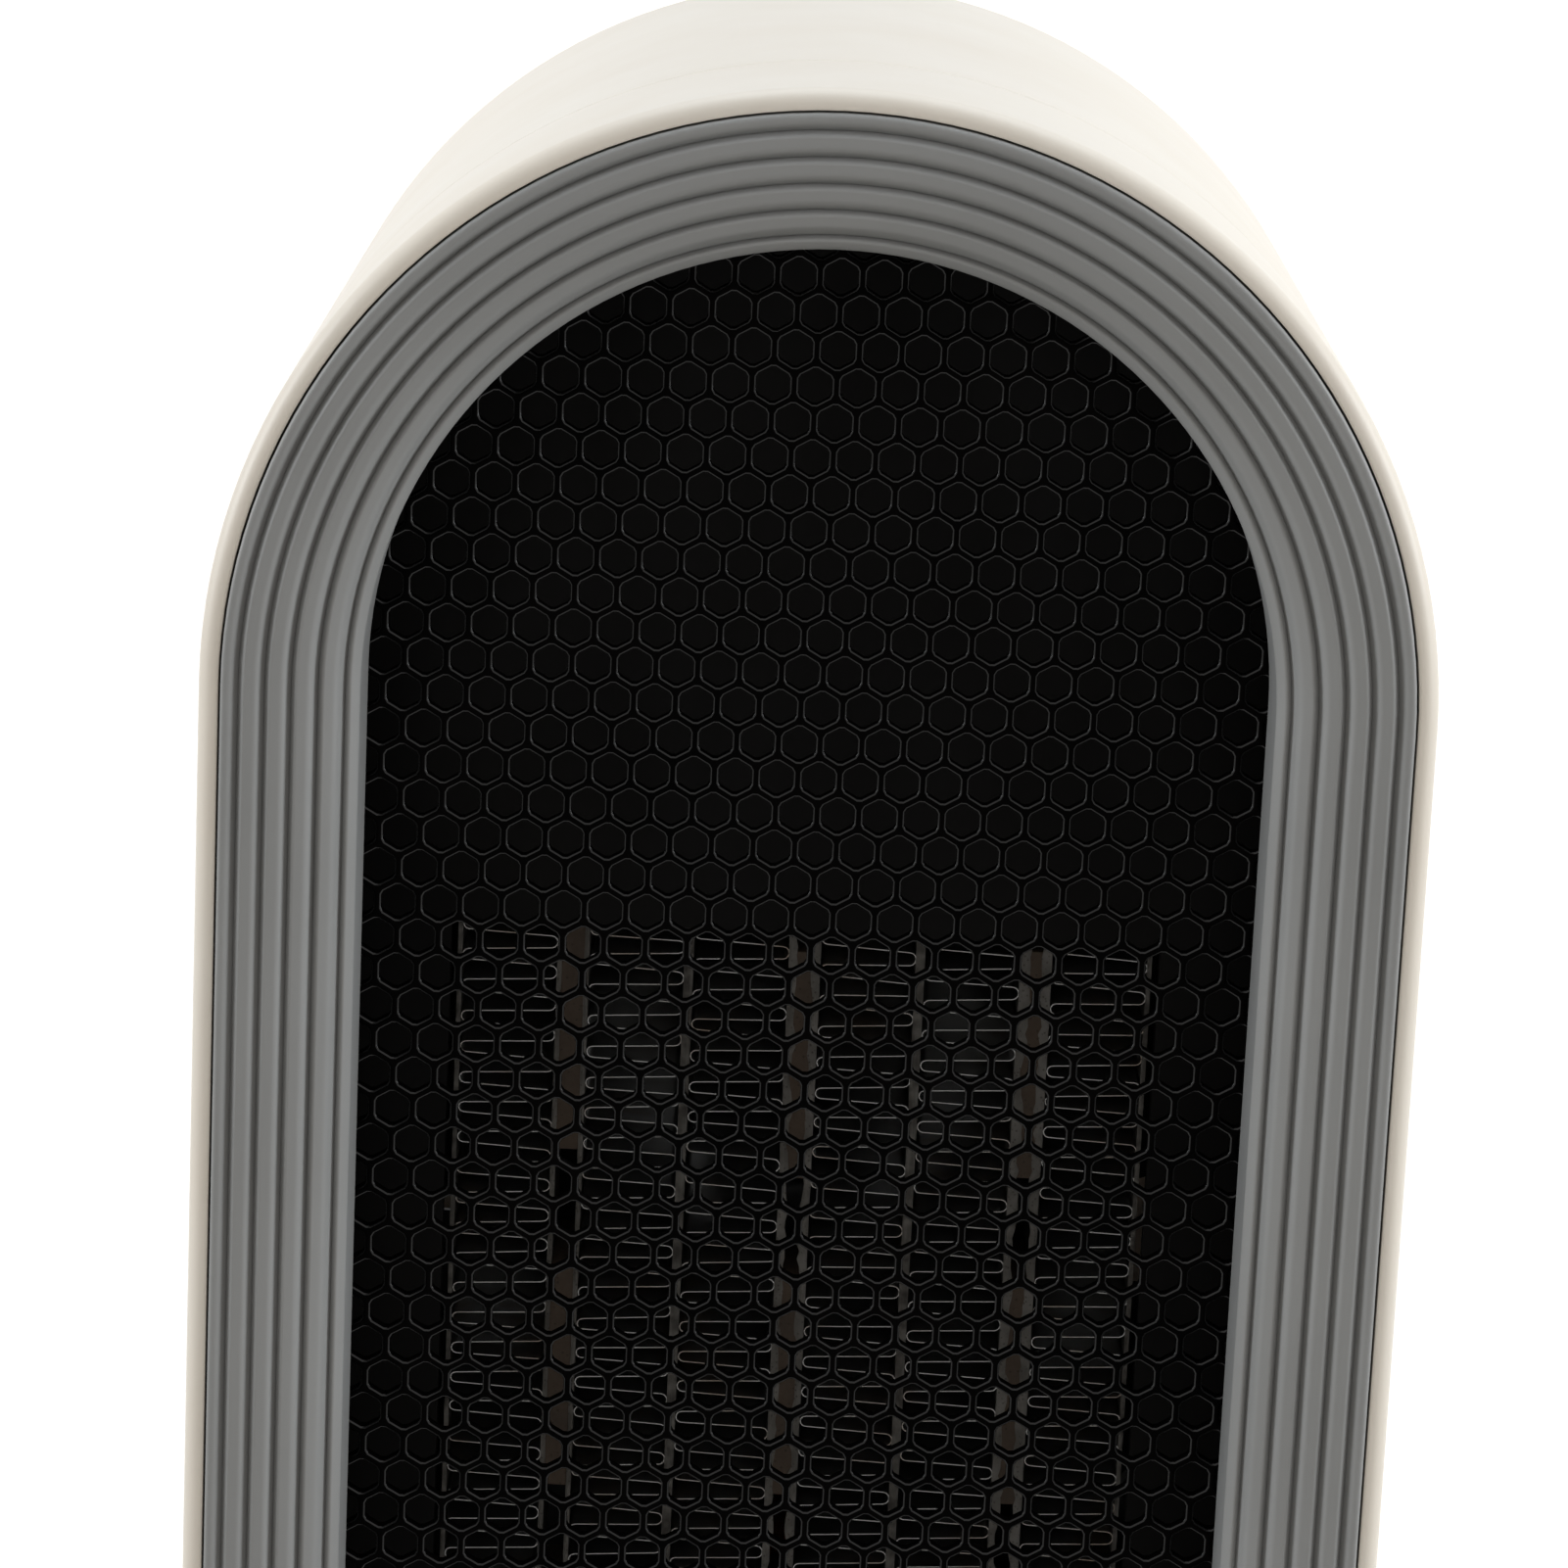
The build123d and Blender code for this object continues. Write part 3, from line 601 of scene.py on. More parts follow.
steel = metal("steel", (176, 176, 178), (132, 130, 130), smooth=0.24, dull=0.44, brush=(1, 0.1, 1))
laminations = banded(
    "stacked_steel", "Y", (92, 94, 98), (66, 62, 62), smooth=0.4, depth=0.00008, metal=0.8,
    bands=300, wander=0.6, patch=0.007,
)
winding = banded(
    "enamelled_wire", "X", (150, 84, 44), (110, 54, 26), smooth=0.3, depth=0.00012, metal=0.6,
    bands=500, wander=1.0, patch=0.005,
)
foot_rubber = pebbled_rubber()
lens_plastic = amber_lens()


# Case

def front_shell():
    """The cream front: rounded rim, pocket for the ribbed frame, recess for the controls."""
    mesh = bmesh.new()
    edge = parting_depth - parting_gap
    outside = arc(case_radius - rim_round, rim_round, rim_round, -90, 0, 8)
    outside += arc(case_radius - parting_round, edge - parting_round, parting_round, 0, 90, 4)
    outside += [(case_radius - wall, edge), (case_radius - wall, ledge_back)]
    sweep(mesh, section(mesh, outside), arch_path())
    pocket = arc(pocket_radius + pocket_lip, pocket_lip, pocket_lip, -90, -180, 3)
    pocket += [(pocket_radius, ledge_front), (ledge_radius, ledge_front), (ledge_radius, ledge_back)]
    sweep(mesh, section(mesh, pocket), pill_path())
    panel_recess(mesh)
    lower_hollow(mesh)
    close_depths(mesh, 0, panel_recess_depth, front_wall, ledge_back)
    as_piece(mesh, "case_front", case_plastic, "heater", "case_plastic", "front_shell")


def panel_recess(mesh):
    """A flat-bottomed recess with the holes of the controls."""
    clear = panel_half_width + 0.0001
    recess = [(clear + 0.0002, 0), (clear, 0.0002), (clear, panel_recess_depth)]
    sweep(mesh, section(mesh, recess, control_z), slot_path(panel_half_run, control_z, 32))
    control_holes(mesh, panel_recess_depth, front_wall)


def control_holes(mesh, front, back):
    """Holes for the two spindles and the lamp."""
    for x, radius in ((-knob_spacing / 2, spindle_hole), (knob_spacing / 2, spindle_hole), (0, lens_radius)):
        round_form(mesh, [(radius, front), (radius, back)], x)


def lower_hollow(mesh):
    """The room for the switches behind the control recess, under the outlet."""
    side = case_radius - hollow_inset
    start_z = lower_z - math.sqrt(hollow_radius**2 - side**2)
    drop = Vector((0, 0, corner_z - start_z))
    span = 180 - 2 * math.degrees(math.acos(side / hollow_radius))
    path = [
        drop, (at(corner_x, 0, corner_z), -90, 12), Vector((-2 * corner_x, 0, 0)),
        (at(-corner_x, 0, corner_z), -90, 12), -drop, (at(0, 0, lower_z), span, 48),
    ]
    sweep(mesh, section(mesh, [(side, front_wall), (side, ledge_back)], start_z), path)


def rear_shell():
    """The cream back: rounded rear edge, inlet slots, deep screw recesses and the lead's hole."""
    mesh = bmesh.new()
    edge = parting_depth + parting_gap
    back_start = case_depth - back_round
    inner_round = back_round - wall
    shell = arc(case_radius - back_round, back_start, inner_round, 90, 0, 8)
    shell += [(case_radius - wall, edge)]
    shell += arc(case_radius - parting_round, edge + parting_round, parting_round, -90, 0, 4)
    shell += arc(case_radius - back_round, back_start, back_round, 0, 90, 10)
    sweep(mesh, section(mesh, shell), arch_path())
    for row in range(-slot_rows, slot_rows + 1):
        inlet_slot(mesh, row * slot_pitch)
    for x in (-case_screw_x, case_screw_x):
        screw_recess(mesh, x)
    round_form(mesh, [(gland_hole, case_depth), (gland_hole, case_depth - wall)], 0)
    close_depths(mesh, case_depth, case_depth - wall)
    rib_low = at(-slot_rib / 2, case_depth - 2 * wall, middle_z - slot_zone_radius)
    rib_high = at(slot_rib / 2, case_depth - wall, middle_z + slot_zone_radius)
    bar(mesh, rib_low, rib_high, 0.0003)
    as_piece(mesh, "case_back", case_plastic, "heater", "case_plastic", "rear_shell")


def inlet_slot(mesh, rise):
    half_length = math.sqrt(slot_zone_radius**2 - rise**2)
    half_run = half_length - slot_height / 2
    lip = 0.0003
    back = case_depth
    points = [(half_length + lip, back), (half_length, back - lip), (half_length, back - wall)]
    z = middle_z + rise
    sweep(mesh, section(mesh, points, z), slot_path(half_run, z, 12))


def screw_recess(mesh, x):
    """A tube from the back wall to the parting line, with the seat of a screw head in it."""
    seat = parting_depth + 2 * wall
    end = parting_depth + parting_gap
    lip = 0.0003
    points = [
        (screw_bore + lip, case_depth), (screw_bore, case_depth - lip), (screw_bore, seat),
        (shank_hole, seat), (shank_hole, end), (tube_radius, end), (tube_radius, case_depth - wall),
    ]
    round_form(mesh, points, x, 24)


# Ribbed frame round the outlet

def bezel_face(inset):
    """Depth of the frame's face: it turns inwards like the first part of a full ellipse."""
    reach = inset / bezel_turn
    return bezel_set_back + bezel_drop * (1 - (1 - reach**bezel_fullness) ** (1 / bezel_fullness))


def groove_points_across(middle):
    """Points across a groove: a long round shoulder outside, a short one inside, a narrow floor."""
    points = []
    for step in range(-groove_points, groove_points + 1):
        reach = groove_outer_reach if step < 0 else groove_inner_reach
        share = step / groove_points
        inset = middle + reach * share
        cut = groove_depth * (1 - abs(share)) ** groove_sharpness
        points.append((bezel_radius - inset, bezel_face(inset) + cut))
    return points


def bezel_ring():
    mesh = bmesh.new()
    edge = bezel_edge_round
    outline = arc(bezel_radius - edge, bezel_set_back + edge, edge, 0, -90, 5)
    for groove in range(groove_count):
        middle = first_groove_inset + groove * groove_pitch
        outline += groove_points_across(middle)
        crown = middle + groove_pitch / 2
        if groove < groove_count - 1:
            outline.append((bezel_radius - crown, bezel_face(crown)))
    width = bezel_radius - outlet_radius
    for inset in (width - 0.0004, width - 0.00025, width - 0.00012, width - 0.00004):
        outline.append((bezel_radius - inset, bezel_face(inset)))
    outline.append((outlet_radius, bezel_face(width) + 0.00006))
    outline += [(outlet_radius, bezel_back), (bezel_radius, bezel_back)]
    sweep(mesh, section(mesh, outline, closed=True), pill_path())
    as_piece(mesh, "ribbed_frame", frame_plastic, "heater", "frame_plastic", "bezel_ring")


# Mesh

def mesh_ring(mesh, ring, factor, depth):
    """Carries a ring of edges to a larger or smaller copy of itself at another depth."""
    chain = carry(mesh, ring, Vector((0, depth, 0)))
    bmesh.ops.scale(mesh, vec=(factor, 1, factor), verts=only(bmesh.types.BMVert, chain))
    return chain


def mesh_tile(mesh):
    """One opening with a rounded front edge and half of the web round it, about the origin."""
    across = mesh_pitch - mesh_web
    corners = bmesh.ops.create_circle(mesh, cap_ends=True, segments=6, radius=across / math.sqrt(3))["verts"]
    bmesh.ops.rotate(mesh, cent=(0, 0, 0), matrix=rotation(90, "X"), verts=corners)
    bmesh.ops.bevel(
        mesh, geom=corners, offset=mesh_corner_cut, affect="VERTICES", segments=1, profile=0.5, material=-1,
    )
    bmesh.ops.delete(mesh, geom=mesh.faces[:], context="FACES_ONLY")
    opening = mesh.edges[:]
    bmesh.ops.translate(mesh, vec=(0, mesh_edge_round, 0), verts=mesh.verts)
    lip = mesh_ring(mesh, opening, (across + 2 * mesh_edge_round) / across, -mesh_edge_round)
    burnished = mesh.faces[:]
    mesh_ring(mesh, lip, mesh_pitch / (across + 2 * mesh_edge_round), 0)
    back = mesh_ring(mesh, opening, 1, mesh_thickness - mesh_edge_round)
    mesh_ring(mesh, back, mesh_pitch / across, 0)
    for edge in opening:
        edge.smooth = False
    for face in mesh.faces:
        face.material_index = 1 if face in burnished else 0


def join_in(mesh, other):
    """Adds another bmesh to this one and lets it go."""
    data = as_data(other, "part")
    mesh.from_mesh(data)
    bpy.data.meshes.remove(data)


def mesh_row(tile, row):
    """A row of tiles, as long as the outlet needs there, or nothing beyond its ends."""
    z = upper_z + mesh_first_row + row * mesh_pitch * math.sqrt(3) / 2
    beyond = max(0.0, z - upper_z, lower_z - z)
    if beyond > mesh_hole_reach:
        return None
    half = math.sqrt(mesh_hole_reach**2 - beyond**2)
    shift = mesh_shift + (0.0 if row % 2 else mesh_pitch / 2)
    first = math.ceil((-half - shift) / mesh_pitch)
    last = math.floor((half - shift) / mesh_pitch)
    line = tile.copy()
    bmesh.ops.translate(line, vec=at(first * mesh_pitch + shift, mesh_front, z), verts=line.verts)
    repeat(line, (mesh_pitch, 0, 0), last - first)
    return line


def front_grille():
    mesh = bmesh.new()
    tile = bmesh.new()
    mesh_tile(tile)
    rows = math.ceil((upper_z - lower_z + 2 * mesh_hole_reach) / (mesh_pitch * math.sqrt(3) / 2))
    for row in range(-rows, rows):
        line = mesh_row(tile, row)
        if line:
            join_in(mesh, line)
    tile.free()
    merge(mesh)
    bmesh.ops.holes_fill(mesh, edges=mesh.edges, sides=3)
    back = mesh_front + mesh_thickness
    border = bmesh.new()
    rim = section(border, [(mesh_border_radius, mesh_front), (mesh_border_radius, back)])
    sweep(border, rim, pill_path())
    join_in(mesh, border)
    close_depths(mesh, mesh_front, back)
    grille = as_piece(
        mesh, "honeycomb_mesh", mesh_paint, "heater", "mesh_metal", "front_grille", sharp=math.radians(60),
    )
    grille.data.materials.append(mesh_edge)
    even = grille.modifiers["even_shading"]
    even.weight = 100
    even.thresh = 0.0


# Heating element

def fin_strip(left, seed):
    """One strip folded to and fro between two plates; its rise and slope settle in a few rounds."""
    lines = int((fins_top - fins_bottom) / fin_spacing / 2)
    spacing = (fins_top - fins_bottom) / (2 * lines)
    run = fin_width - 2 * fin_bend
    rise = spacing - 2 * fin_bend
    slope = math.atan2(rise, run)
    for _ in range(4):
        rise = spacing - 2 * fin_bend * math.cos(slope)
        slope = math.atan2(rise, run)
    turn = 180 - 2 * math.degrees(slope)
    lean = Vector((math.sin(slope), 0, math.cos(slope))) * fin_bend
    start = Vector((left + fin_bend, rim_y + element_depth, fins_bottom))
    right_end = start + Vector((run, 0, rise))
    left_end = right_end + Vector((-run, 0, 2 * lean.z + rise))
    right_centre = right_end + Vector((-lean.x, 0, lean.z))
    left_centre = left_end + lean
    path = [
        Vector((run, 0, rise)), (right_centre, turn, 6),
        Vector((-run, 0, rise)), (left_centre, -turn, 6),
    ]
    strip = bmesh.new()
    chain = draw(strip, [start, start + Vector((0, element_back - element_depth, 0))])
    sweep(strip, chain, path)
    repeat(strip, (0, 0, 2 * spacing), lines - 1)
    for corner in strip.verts:
        wave = noise.noise(Vector((corner.co.x * 90, seed, corner.co.z * 160)))
        corner.co.z += 0.00022 * wave
    return strip


def heating_fins():
    mesh = bmesh.new()
    inner = stone_thickness / 2 + electrode_thickness
    for module in (-1, 0, 1):
        middle = module * module_width
        join_in(mesh, fin_strip(middle - inner - fin_width, module))
        join_in(mesh, fin_strip(middle + inner, module + 0.5))
    merge(mesh)
    bmesh.ops.recalc_face_normals(mesh, faces=mesh.faces)
    bmesh.ops.solidify(mesh, geom=mesh.faces[:], thickness=fin_metal_thickness)
    as_piece(mesh, "folded_fins", fin_metal, "heater", "fin_metal", "heating_fins")


def ceramic_stones():
    """Three rows of stones; in two of them the top stone has slipped down a little."""
    mesh = bmesh.new()
    half = stone_thickness / 2
    for row, slip in ((-1, 0.0), (0, 0.0021), (1, 0.001)):
        x = row * module_width
        for step in range(stones_in_row):
            drop = slip if step == 0 else 0.0
            high = fins_top - step * stone_step - drop
            low = high - stone_length
            bar(mesh, at(x - half, element_depth, low), at(x + half, element_back, high), 0.0002)
    as_piece(mesh, "ceramic_blocks", stone_ceramic, "heater", "stone", "ceramic_stones")


def sealant_beads():
    """Silicone pressed out between stones and plates: strips with a ragged inner edge."""
    mesh = bmesh.new()
    half = stone_thickness / 2
    steps = 120
    rise = (fins_top - fins_bottom) / steps
    face = element_depth
    for row, reach in ((-1, 0.00005), (0, 0.0004), (1, 0.0005)):
        for side in (-1, 1):
            bead = bmesh.new()
            inner = row * module_width + side * (half - reach)
            outer = row * module_width + side * (half + electrode_thickness)
            middle = (inner + outer) / 2
            points = [(inner, face + 0.0002), (inner, face - 0.00006), (middle, face - 0.00022)]
            points += [(outer, face - 0.00008), (outer, face + 0.0002)]
            chain = draw(bead, [at(x, depth, fins_bottom) for x, depth in points], closed=True)
            for _ in range(steps):
                chain = carry(bead, chain, Vector((0, 0, rise)))
            ragged(bead, row * module_width, side, reach)
            bmesh.ops.holes_fill(bead, edges=bead.edges, sides=5)
            join_in(mesh, bead)
    as_piece(mesh, "sealant_beads", stone_sealant, "heater", "stone")


def ragged(bead, row_x, side, reach):
    """Moves a bead's points in and out, most where it lies on the stone."""
    for corner in bead.verts:
        place = corner.co.copy()
        drift = noise.noise(Vector((side * 3 + row_x * 200, 0, place.z * 260)))
        crumbs = noise.noise(Vector((side * 7 + row_x * 300, 0, place.z * 1300)))
        on_stone = abs(place.x - row_x) < stone_thickness / 2
        share = 1.0 if on_stone else 0.15
        corner.co.x += side * share * reach * (1.1 * drift + 0.8 * crumbs)
        corner.co.y += 0.00008 * crumbs


# Fan

def blade(mesh, low, high):
    """A twisted blade that widens towards its tip, pointing up from the fan's axis."""
    tip = high.x - blade_clearance
    middle = (low + high) / 2
    points = []
    for step in range(9):
        across = step / 8 - 0.5
        hump = blade_hump * (1 - 4 * across * across)
        points.append(Vector((blade_chord * across, blade_chord * hump, blade_root)))
    chain = draw(mesh, points)
    twist = rotation(blade_twist, "Z")
    bmesh.ops.rotate(mesh, cent=(0, 0, 0), matrix=rotation(blade_lean, "Z"), verts=mesh.verts)
    rise = Vector((0, 0, (tip - blade_root) / blade_steps))
    for step in range(blade_steps):
        chain = carry(mesh, chain, rise)
        corners = only(bmesh.types.BMVert, chain)
        bmesh.ops.scale(mesh, vec=(blade_growth, blade_growth, 1), verts=corners)
        bmesh.ops.rotate(mesh, cent=(0, 0, 0), matrix=twist, verts=corners)
    for corner in mesh.verts:
        corner.co.z = math.sqrt(max(0.0, corner.co.z**2 - corner.co.x**2))
    bmesh.ops.solidify(mesh, geom=mesh.faces[:], thickness=blade_thickness)
    bmesh.ops.translate(mesh, vec=(0, middle.y, middle.z), verts=mesh.verts)


def fan_impeller():
    """Seven twisted blades on a hub with a rounded nose, turned by the motor's shaft."""
    low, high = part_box("fan_impeller")
    middle = Vector((0, (low.y + high.y) / 2, (low.z + high.z) / 2))
    front = low.y - rim_y
    back = high.y - rim_y
    inside = hub_radius - hub_wall
    boss_end = back - 0.001
    bore_end = front + 0.0025
    mesh = bmesh.new()
    profile = [(0, front + 0.0002)] + arc(hub_radius - hub_round, front + 0.0032, hub_round, -90, 0, 6)
    profile += [(hub_radius, back), (inside, back), (inside, front + 0.005), (shaft_boss, front + 0.0045)]
    profile += [(shaft_boss, boss_end), (shaft_bore, boss_end), (shaft_bore, bore_end), (0, bore_end)]
    round_form(mesh, profile, 0, 48, middle.z)
    for turn in range(blade_count):
        one = bmesh.new()
        blade(one, low, high)
        bmesh.ops.rotate(one, cent=middle, matrix=rotation(turn * 360 / blade_count, "Y"), verts=one.verts)
        join_in(mesh, one)
    as_piece(mesh, "fan_wheel", fan_plastic, "fan_rotor", "fan_plastic", "fan_impeller")


# Controls

def control_panel():
    mesh = bmesh.new()
    face = panel_low.y - rim_y
    corner = 0.0005
    outline = [(panel_half_width, panel_recess_depth)]
    outline += arc(panel_half_width - corner, face + corner, corner, 0, -90, 4)
    sweep(mesh, section(mesh, outline, control_z), slot_path(panel_half_run, control_z, 48))
    control_holes(mesh, face, panel_recess_depth)
    close_depths(mesh, face, panel_recess_depth)
    as_piece(mesh, "control_plate", control_plastic, "heater", "control_plastic", "control_panel")


def knob(name, node, body):
    """A round knob: dished face, rounded front edge and soft ribs round its side."""
    low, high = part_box(node)
    x = (low.x + high.x) / 2
    front = low.y - rim_y
    back = high.y - rim_y
    mesh = bmesh.new()
    profile = [(0, front + 0.0009), (0.005, front + 0.0008), (0.0085, front + 0.0003)]
    profile += arc(knob_radius - knob_front_edge, front + knob_front_edge, knob_front_edge, -90, 0, 8)
    profile += [(knob_radius, front + 0.004), (knob_radius, back - knob_back_edge)]
    profile += [(knob_radius - knob_back_edge, back), (0, back)]
    round_form(mesh, profile, x, 8 * knob_ribs)
    for corner in mesh.verts:
        out = corner.co - at(x, 0, control_z)
        radius = math.hypot(out.x, out.z)
        if radius > knob_radius - 0.0005 and out.y > front + 0.0012:
            swell = 0.5 - 0.5 * math.cos(knob_ribs * math.atan2(out.z, out.x))
            factor = 1 - knob_rib_depth * swell / radius
            corner.co.x = x + out.x * factor
            corner.co.z = control_z + out.z * factor
    as_piece(mesh, name, control_plastic, body, "control_plastic", node)
    pointer = bmesh.new()
    tip = at(x + 0.0007, front + 0.0012, control_z + knob_radius - 0.0013)
    bar(pointer, at(x - 0.0007, front + 0.0001, control_z + 0.003), tip, 0.00025)
    as_piece(pointer, name + "_pointer", mark_paint, body, "control_plastic")


def panel_marks():
    """Plain ticks round the knobs: dots and bars for the steps, a growing scale for the heat."""
    mesh = bmesh.new()
    face = panel_low.y - rim_y
    marks = [(-knob_spacing / 2, turn, 0.0004 + 0.00015 * turn / 45) for turn in range(0, 136, 45)]
    marks += [(knob_spacing / 2, turn, 0.0003 + 0.0004 * (turn + 135) / 270) for turn in range(-135, 136, 27)]
    for x, turn, half_width in marks:
        made = bmesh.ops.create_cube(mesh, size=1)["verts"]
        bmesh.ops.scale(mesh, vec=(2 * half_width, 0.0001, 0.001), verts=made)
        bmesh.ops.translate(mesh, vec=(0, 0, knob_radius + 0.0011), verts=made)
        bmesh.ops.rotate(mesh, cent=(0, 0, 0), matrix=rotation(turn, "Y"), verts=made)
        bmesh.ops.translate(mesh, vec=at(x, face, control_z), verts=made)
    as_piece(mesh, "panel_marks", mark_paint, "heater", "control_plastic")


def indicator_lens():
    low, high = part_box("indicator_lens")
    front = low.y - rim_y
    back = high.y - rim_y
    mesh = bmesh.new()
    dome = 0.0009
    radius = lens_radius - 0.00005
    profile = [(0, front), (0.35 * radius, front + 0.07 * dome), (0.65 * radius, front + 0.26 * dome)]
    profile += [(0.87 * radius, front + 0.55 * dome), (radius, front + dome), (radius, back), (0, back)]
    round_form(mesh, profile, 0)
    as_piece(mesh, "amber_lens", lens_plastic, "heater", "lens", "indicator_lens")


# Base

def flat_path(half_width, half_length, corner):
    """Round a rounded rectangle in plan, from the middle of its right side."""
    x = half_width - corner
    y = half_length - corner
    back_y = plinth_middle_y + y
    front_y = plinth_middle_y - y
    run = Vector((0, 2 * y, 0))
    side = Vector((-2 * x, 0, 0))
    corners = [(x, back_y), (-x, back_y), (-x, front_y), (x, front_y)]
    turns = [(Vector((*place, 0)), 90, 12) for place in corners]
    return [run / 2, turns[0], side, turns[1], -run, turns[2], -side, turns[3], run / 2]


def base_plinth():
    mesh = bmesh.new()
    half_width = plinth_high.x
    half_length = (plinth_high.y - plinth_low.y) / 2
    low = plinth_low.z
    high = plinth_high.z
    points = arc(half_width - 0.001, low + 0.001, 0.001, -90, 0, 5)
    points += [(half_width, high - 0.0002), (half_width - 0.0002, high), (half_width - plinth_wall, high)]
    points += [(half_width - plinth_wall, low + plinth_wall)]
    chain = draw(mesh, [Vector((x, plinth_middle_y, z)) for x, z in points])
    sweep(mesh, chain, flat_path(half_width, half_length, plinth_corner), axis=(0, 0, 1))
    hole = plunger_hole / 2
    plunger_y = rim_y + case_depth / 2
    corners = [(hole, hole), (-hole, hole), (-hole, -hole), (hole, -hole)]
    square = draw(mesh, [Vector((x, plunger_y + y, low)) for x, y in corners], closed=True)
    carry(mesh, square, Vector((0, 0, plinth_wall)))
    close_plane(mesh, low, axis=2)
    close_plane(mesh, low + plinth_wall, axis=2)
    as_piece(mesh, "plinth", black_plastic, "heater", "black_plastic", "base_plinth")


def rubber_feet():
    mesh = bmesh.new()
    low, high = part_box("rubber_feet")
    size = Vector((foot_width, foot_width, high.z - low.z))
    for x in (low.x, high.x - foot_width):
        for y in (low.y, high.y - foot_width):
            corner = Vector((x, y, low.z))
            bar(mesh, corner, corner + size, 0.0008, 3)
    as_piece(mesh, "feet", foot_rubber, "heater", "foot_rubber", "rubber_feet")


# Screws, plunger and gland

def screw_head(mesh, place, turned):
    """A round head with a cross recess, its top at the given place, pointing where turned says."""
    head = bmesh.new()
    edge = 0.0006
    flat = screw_head_radius - edge
    profile = [(screw_head_radius, -screw_head_height)]
    for step in range(6):
        angle = math.radians(90 * step / 5)
        profile.append((flat + edge * math.cos(angle), -edge + edge * math.sin(angle)))
    chain = draw(head, [Vector((radius, 0, z)) for radius, z in profile])
    swing(head, chain, Vector((0, 0, 0)), 360, 32, axis=(0, 0, 1))
    quarter = [(cross_arm, -cross_half), (cross_arm, cross_half), (cross_half, cross_half)]
    cross = []
    for turn in range(4):
        for x, y in quarter:
            for _ in range(turn):
                x, y = -y, x
            cross.append(Vector((x, y, 0)))
    rim = draw(head, cross, closed=True)
    floor = carry(head, rim, Vector((0, 0, -cross_depth)))
    bmesh.ops.scale(head, vec=(cross_taper, cross_taper, 1), verts=only(bmesh.types.BMVert, floor))
    for level in (0, -cross_depth, -screw_head_height):
        close_plane(head, level, axis=2)
    bmesh.ops.transform(head, matrix=Matrix.Translation(place) @ turned, verts=head.verts)
    join_in(mesh, head)


def screws():
    """Screws that hold the two shells together and the base under them."""
    low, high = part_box("case_screws")
    front = low.y - rim_y
    shank_end = high.y - rim_y - (screw_head_height + 0.0001)
    shank = [(0, front), (shank_radius, front + 0.001), (shank_radius, shank_end), (0, shank_end)]
    mesh = bmesh.new()
    backward = rotation(-90, "X", 4)
    for x in (-case_screw_x, case_screw_x):
        screw_head(mesh, Vector((x, high.y, control_z)), backward)
        round_form(mesh, shank, x, 16)
    as_piece(mesh, "shell_screws", steel, "heater", "steel", "case_screws")
    low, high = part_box("base_screws")
    mesh = bmesh.new()
    downward = rotation(180, "X", 4)
    for x in (low.x + screw_head_radius, high.x - screw_head_radius):
        for y in (low.y + screw_head_half_flat, high.y - screw_head_half_flat):
            screw_head(mesh, Vector((x, y, low.z)), downward)
            corner = Vector((base_shank_half, base_shank_half, 0))
            middle = Vector((x, y, 0))
            bottom = Vector((0, 0, low.z + screw_head_height))
            bar(mesh, middle - corner + bottom, middle + corner + Vector((0, 0, high.z)), 0.0005)
    as_piece(mesh, "plinth_screws", steel, "heater", "steel", "base_screws")


def tip_plunger():
    """The square foot of the tip-over switch, with its collar and stem."""
    low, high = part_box("tip_plunger")
    middle = Vector((0, (low.y + high.y) / 2, 0))
    mesh = bmesh.new()
    parts = [
        (plunger_width / 2, low.z, collar_high, 0.0009), (high.x, collar_low, collar_high, 0.0003),
        (0.002, collar_high - 0.0001, high.z, 0.0003),
    ]
    for half, bottom, top, rounding in parts:
        corner = Vector((half, half, 0))
        low_corner = middle - corner + Vector((0, 0, bottom))
        high_corner = middle + corner + Vector((0, 0, top))
        bar(mesh, low_corner, high_corner, rounding, 3)
    as_piece(mesh, "plunger", control_plastic, "tip_foot", "black_plastic", "tip_plunger")


def cord_gland():
    """A six-sided gland with a rubber lip round its bore."""
    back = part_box("cord_gland")[1].y - rim_y
    inner = case_depth - wall
    mesh = bmesh.new()
    hexagon = []
    for corner in range(6):
        angle = math.radians(60 * corner)
        height = control_z + gland_radius * math.sin(angle)
        hexagon.append(at(gland_radius * math.cos(angle), case_depth, height))
    rim = draw(mesh, hexagon, closed=True)
    side = carry(mesh, rim, Vector((0, back - gland_chamfer - case_depth, 0)))
    top = carry(mesh, side, Vector((0, gland_chamfer, 0)))
    factor = 1 - gland_chamfer / gland_radius
    corners = only(bmesh.types.BMVert, top)
    about_axis = Matrix.Translation((0, 0, -control_z))
    bmesh.ops.scale(mesh, vec=(factor, 1, factor), space=about_axis, verts=corners)
    inside = [(gland_neck, case_depth), (gland_neck, inner), (gland_bore, inner), (gland_bore, back)]
    round_form(mesh, inside, 0, 40)
    close_depths(mesh, case_depth, back)
    as_piece(mesh, "gland", black_plastic, "heater", "black_plastic", "cord_gland")
    lip = bmesh.new()
    profile = arc(gland_bore + 0.0006, back - 0.0006, 0.00055, 0, -180, 8)
    profile += [(gland_bore + 0.00005, inner + 0.0005), (gland_bore + 0.00115, inner + 0.0005)]
    chain = draw(lip, [at(radius - 0.0012, depth, control_z) for radius, depth in profile], closed=True)
    swing(lip, chain, at(0, 0, control_z), 360, 40)
    as_piece(lip, "gland_lip", foot_rubber, "heater", "foot_rubber")


# Carried-over solids

def dress(material, *names):
    """Gives the solids that stay as they are their finish."""
    for name in names:
        slots = frame["nodes"][name].data.materials
        slots.clear()
        slots.append(material)


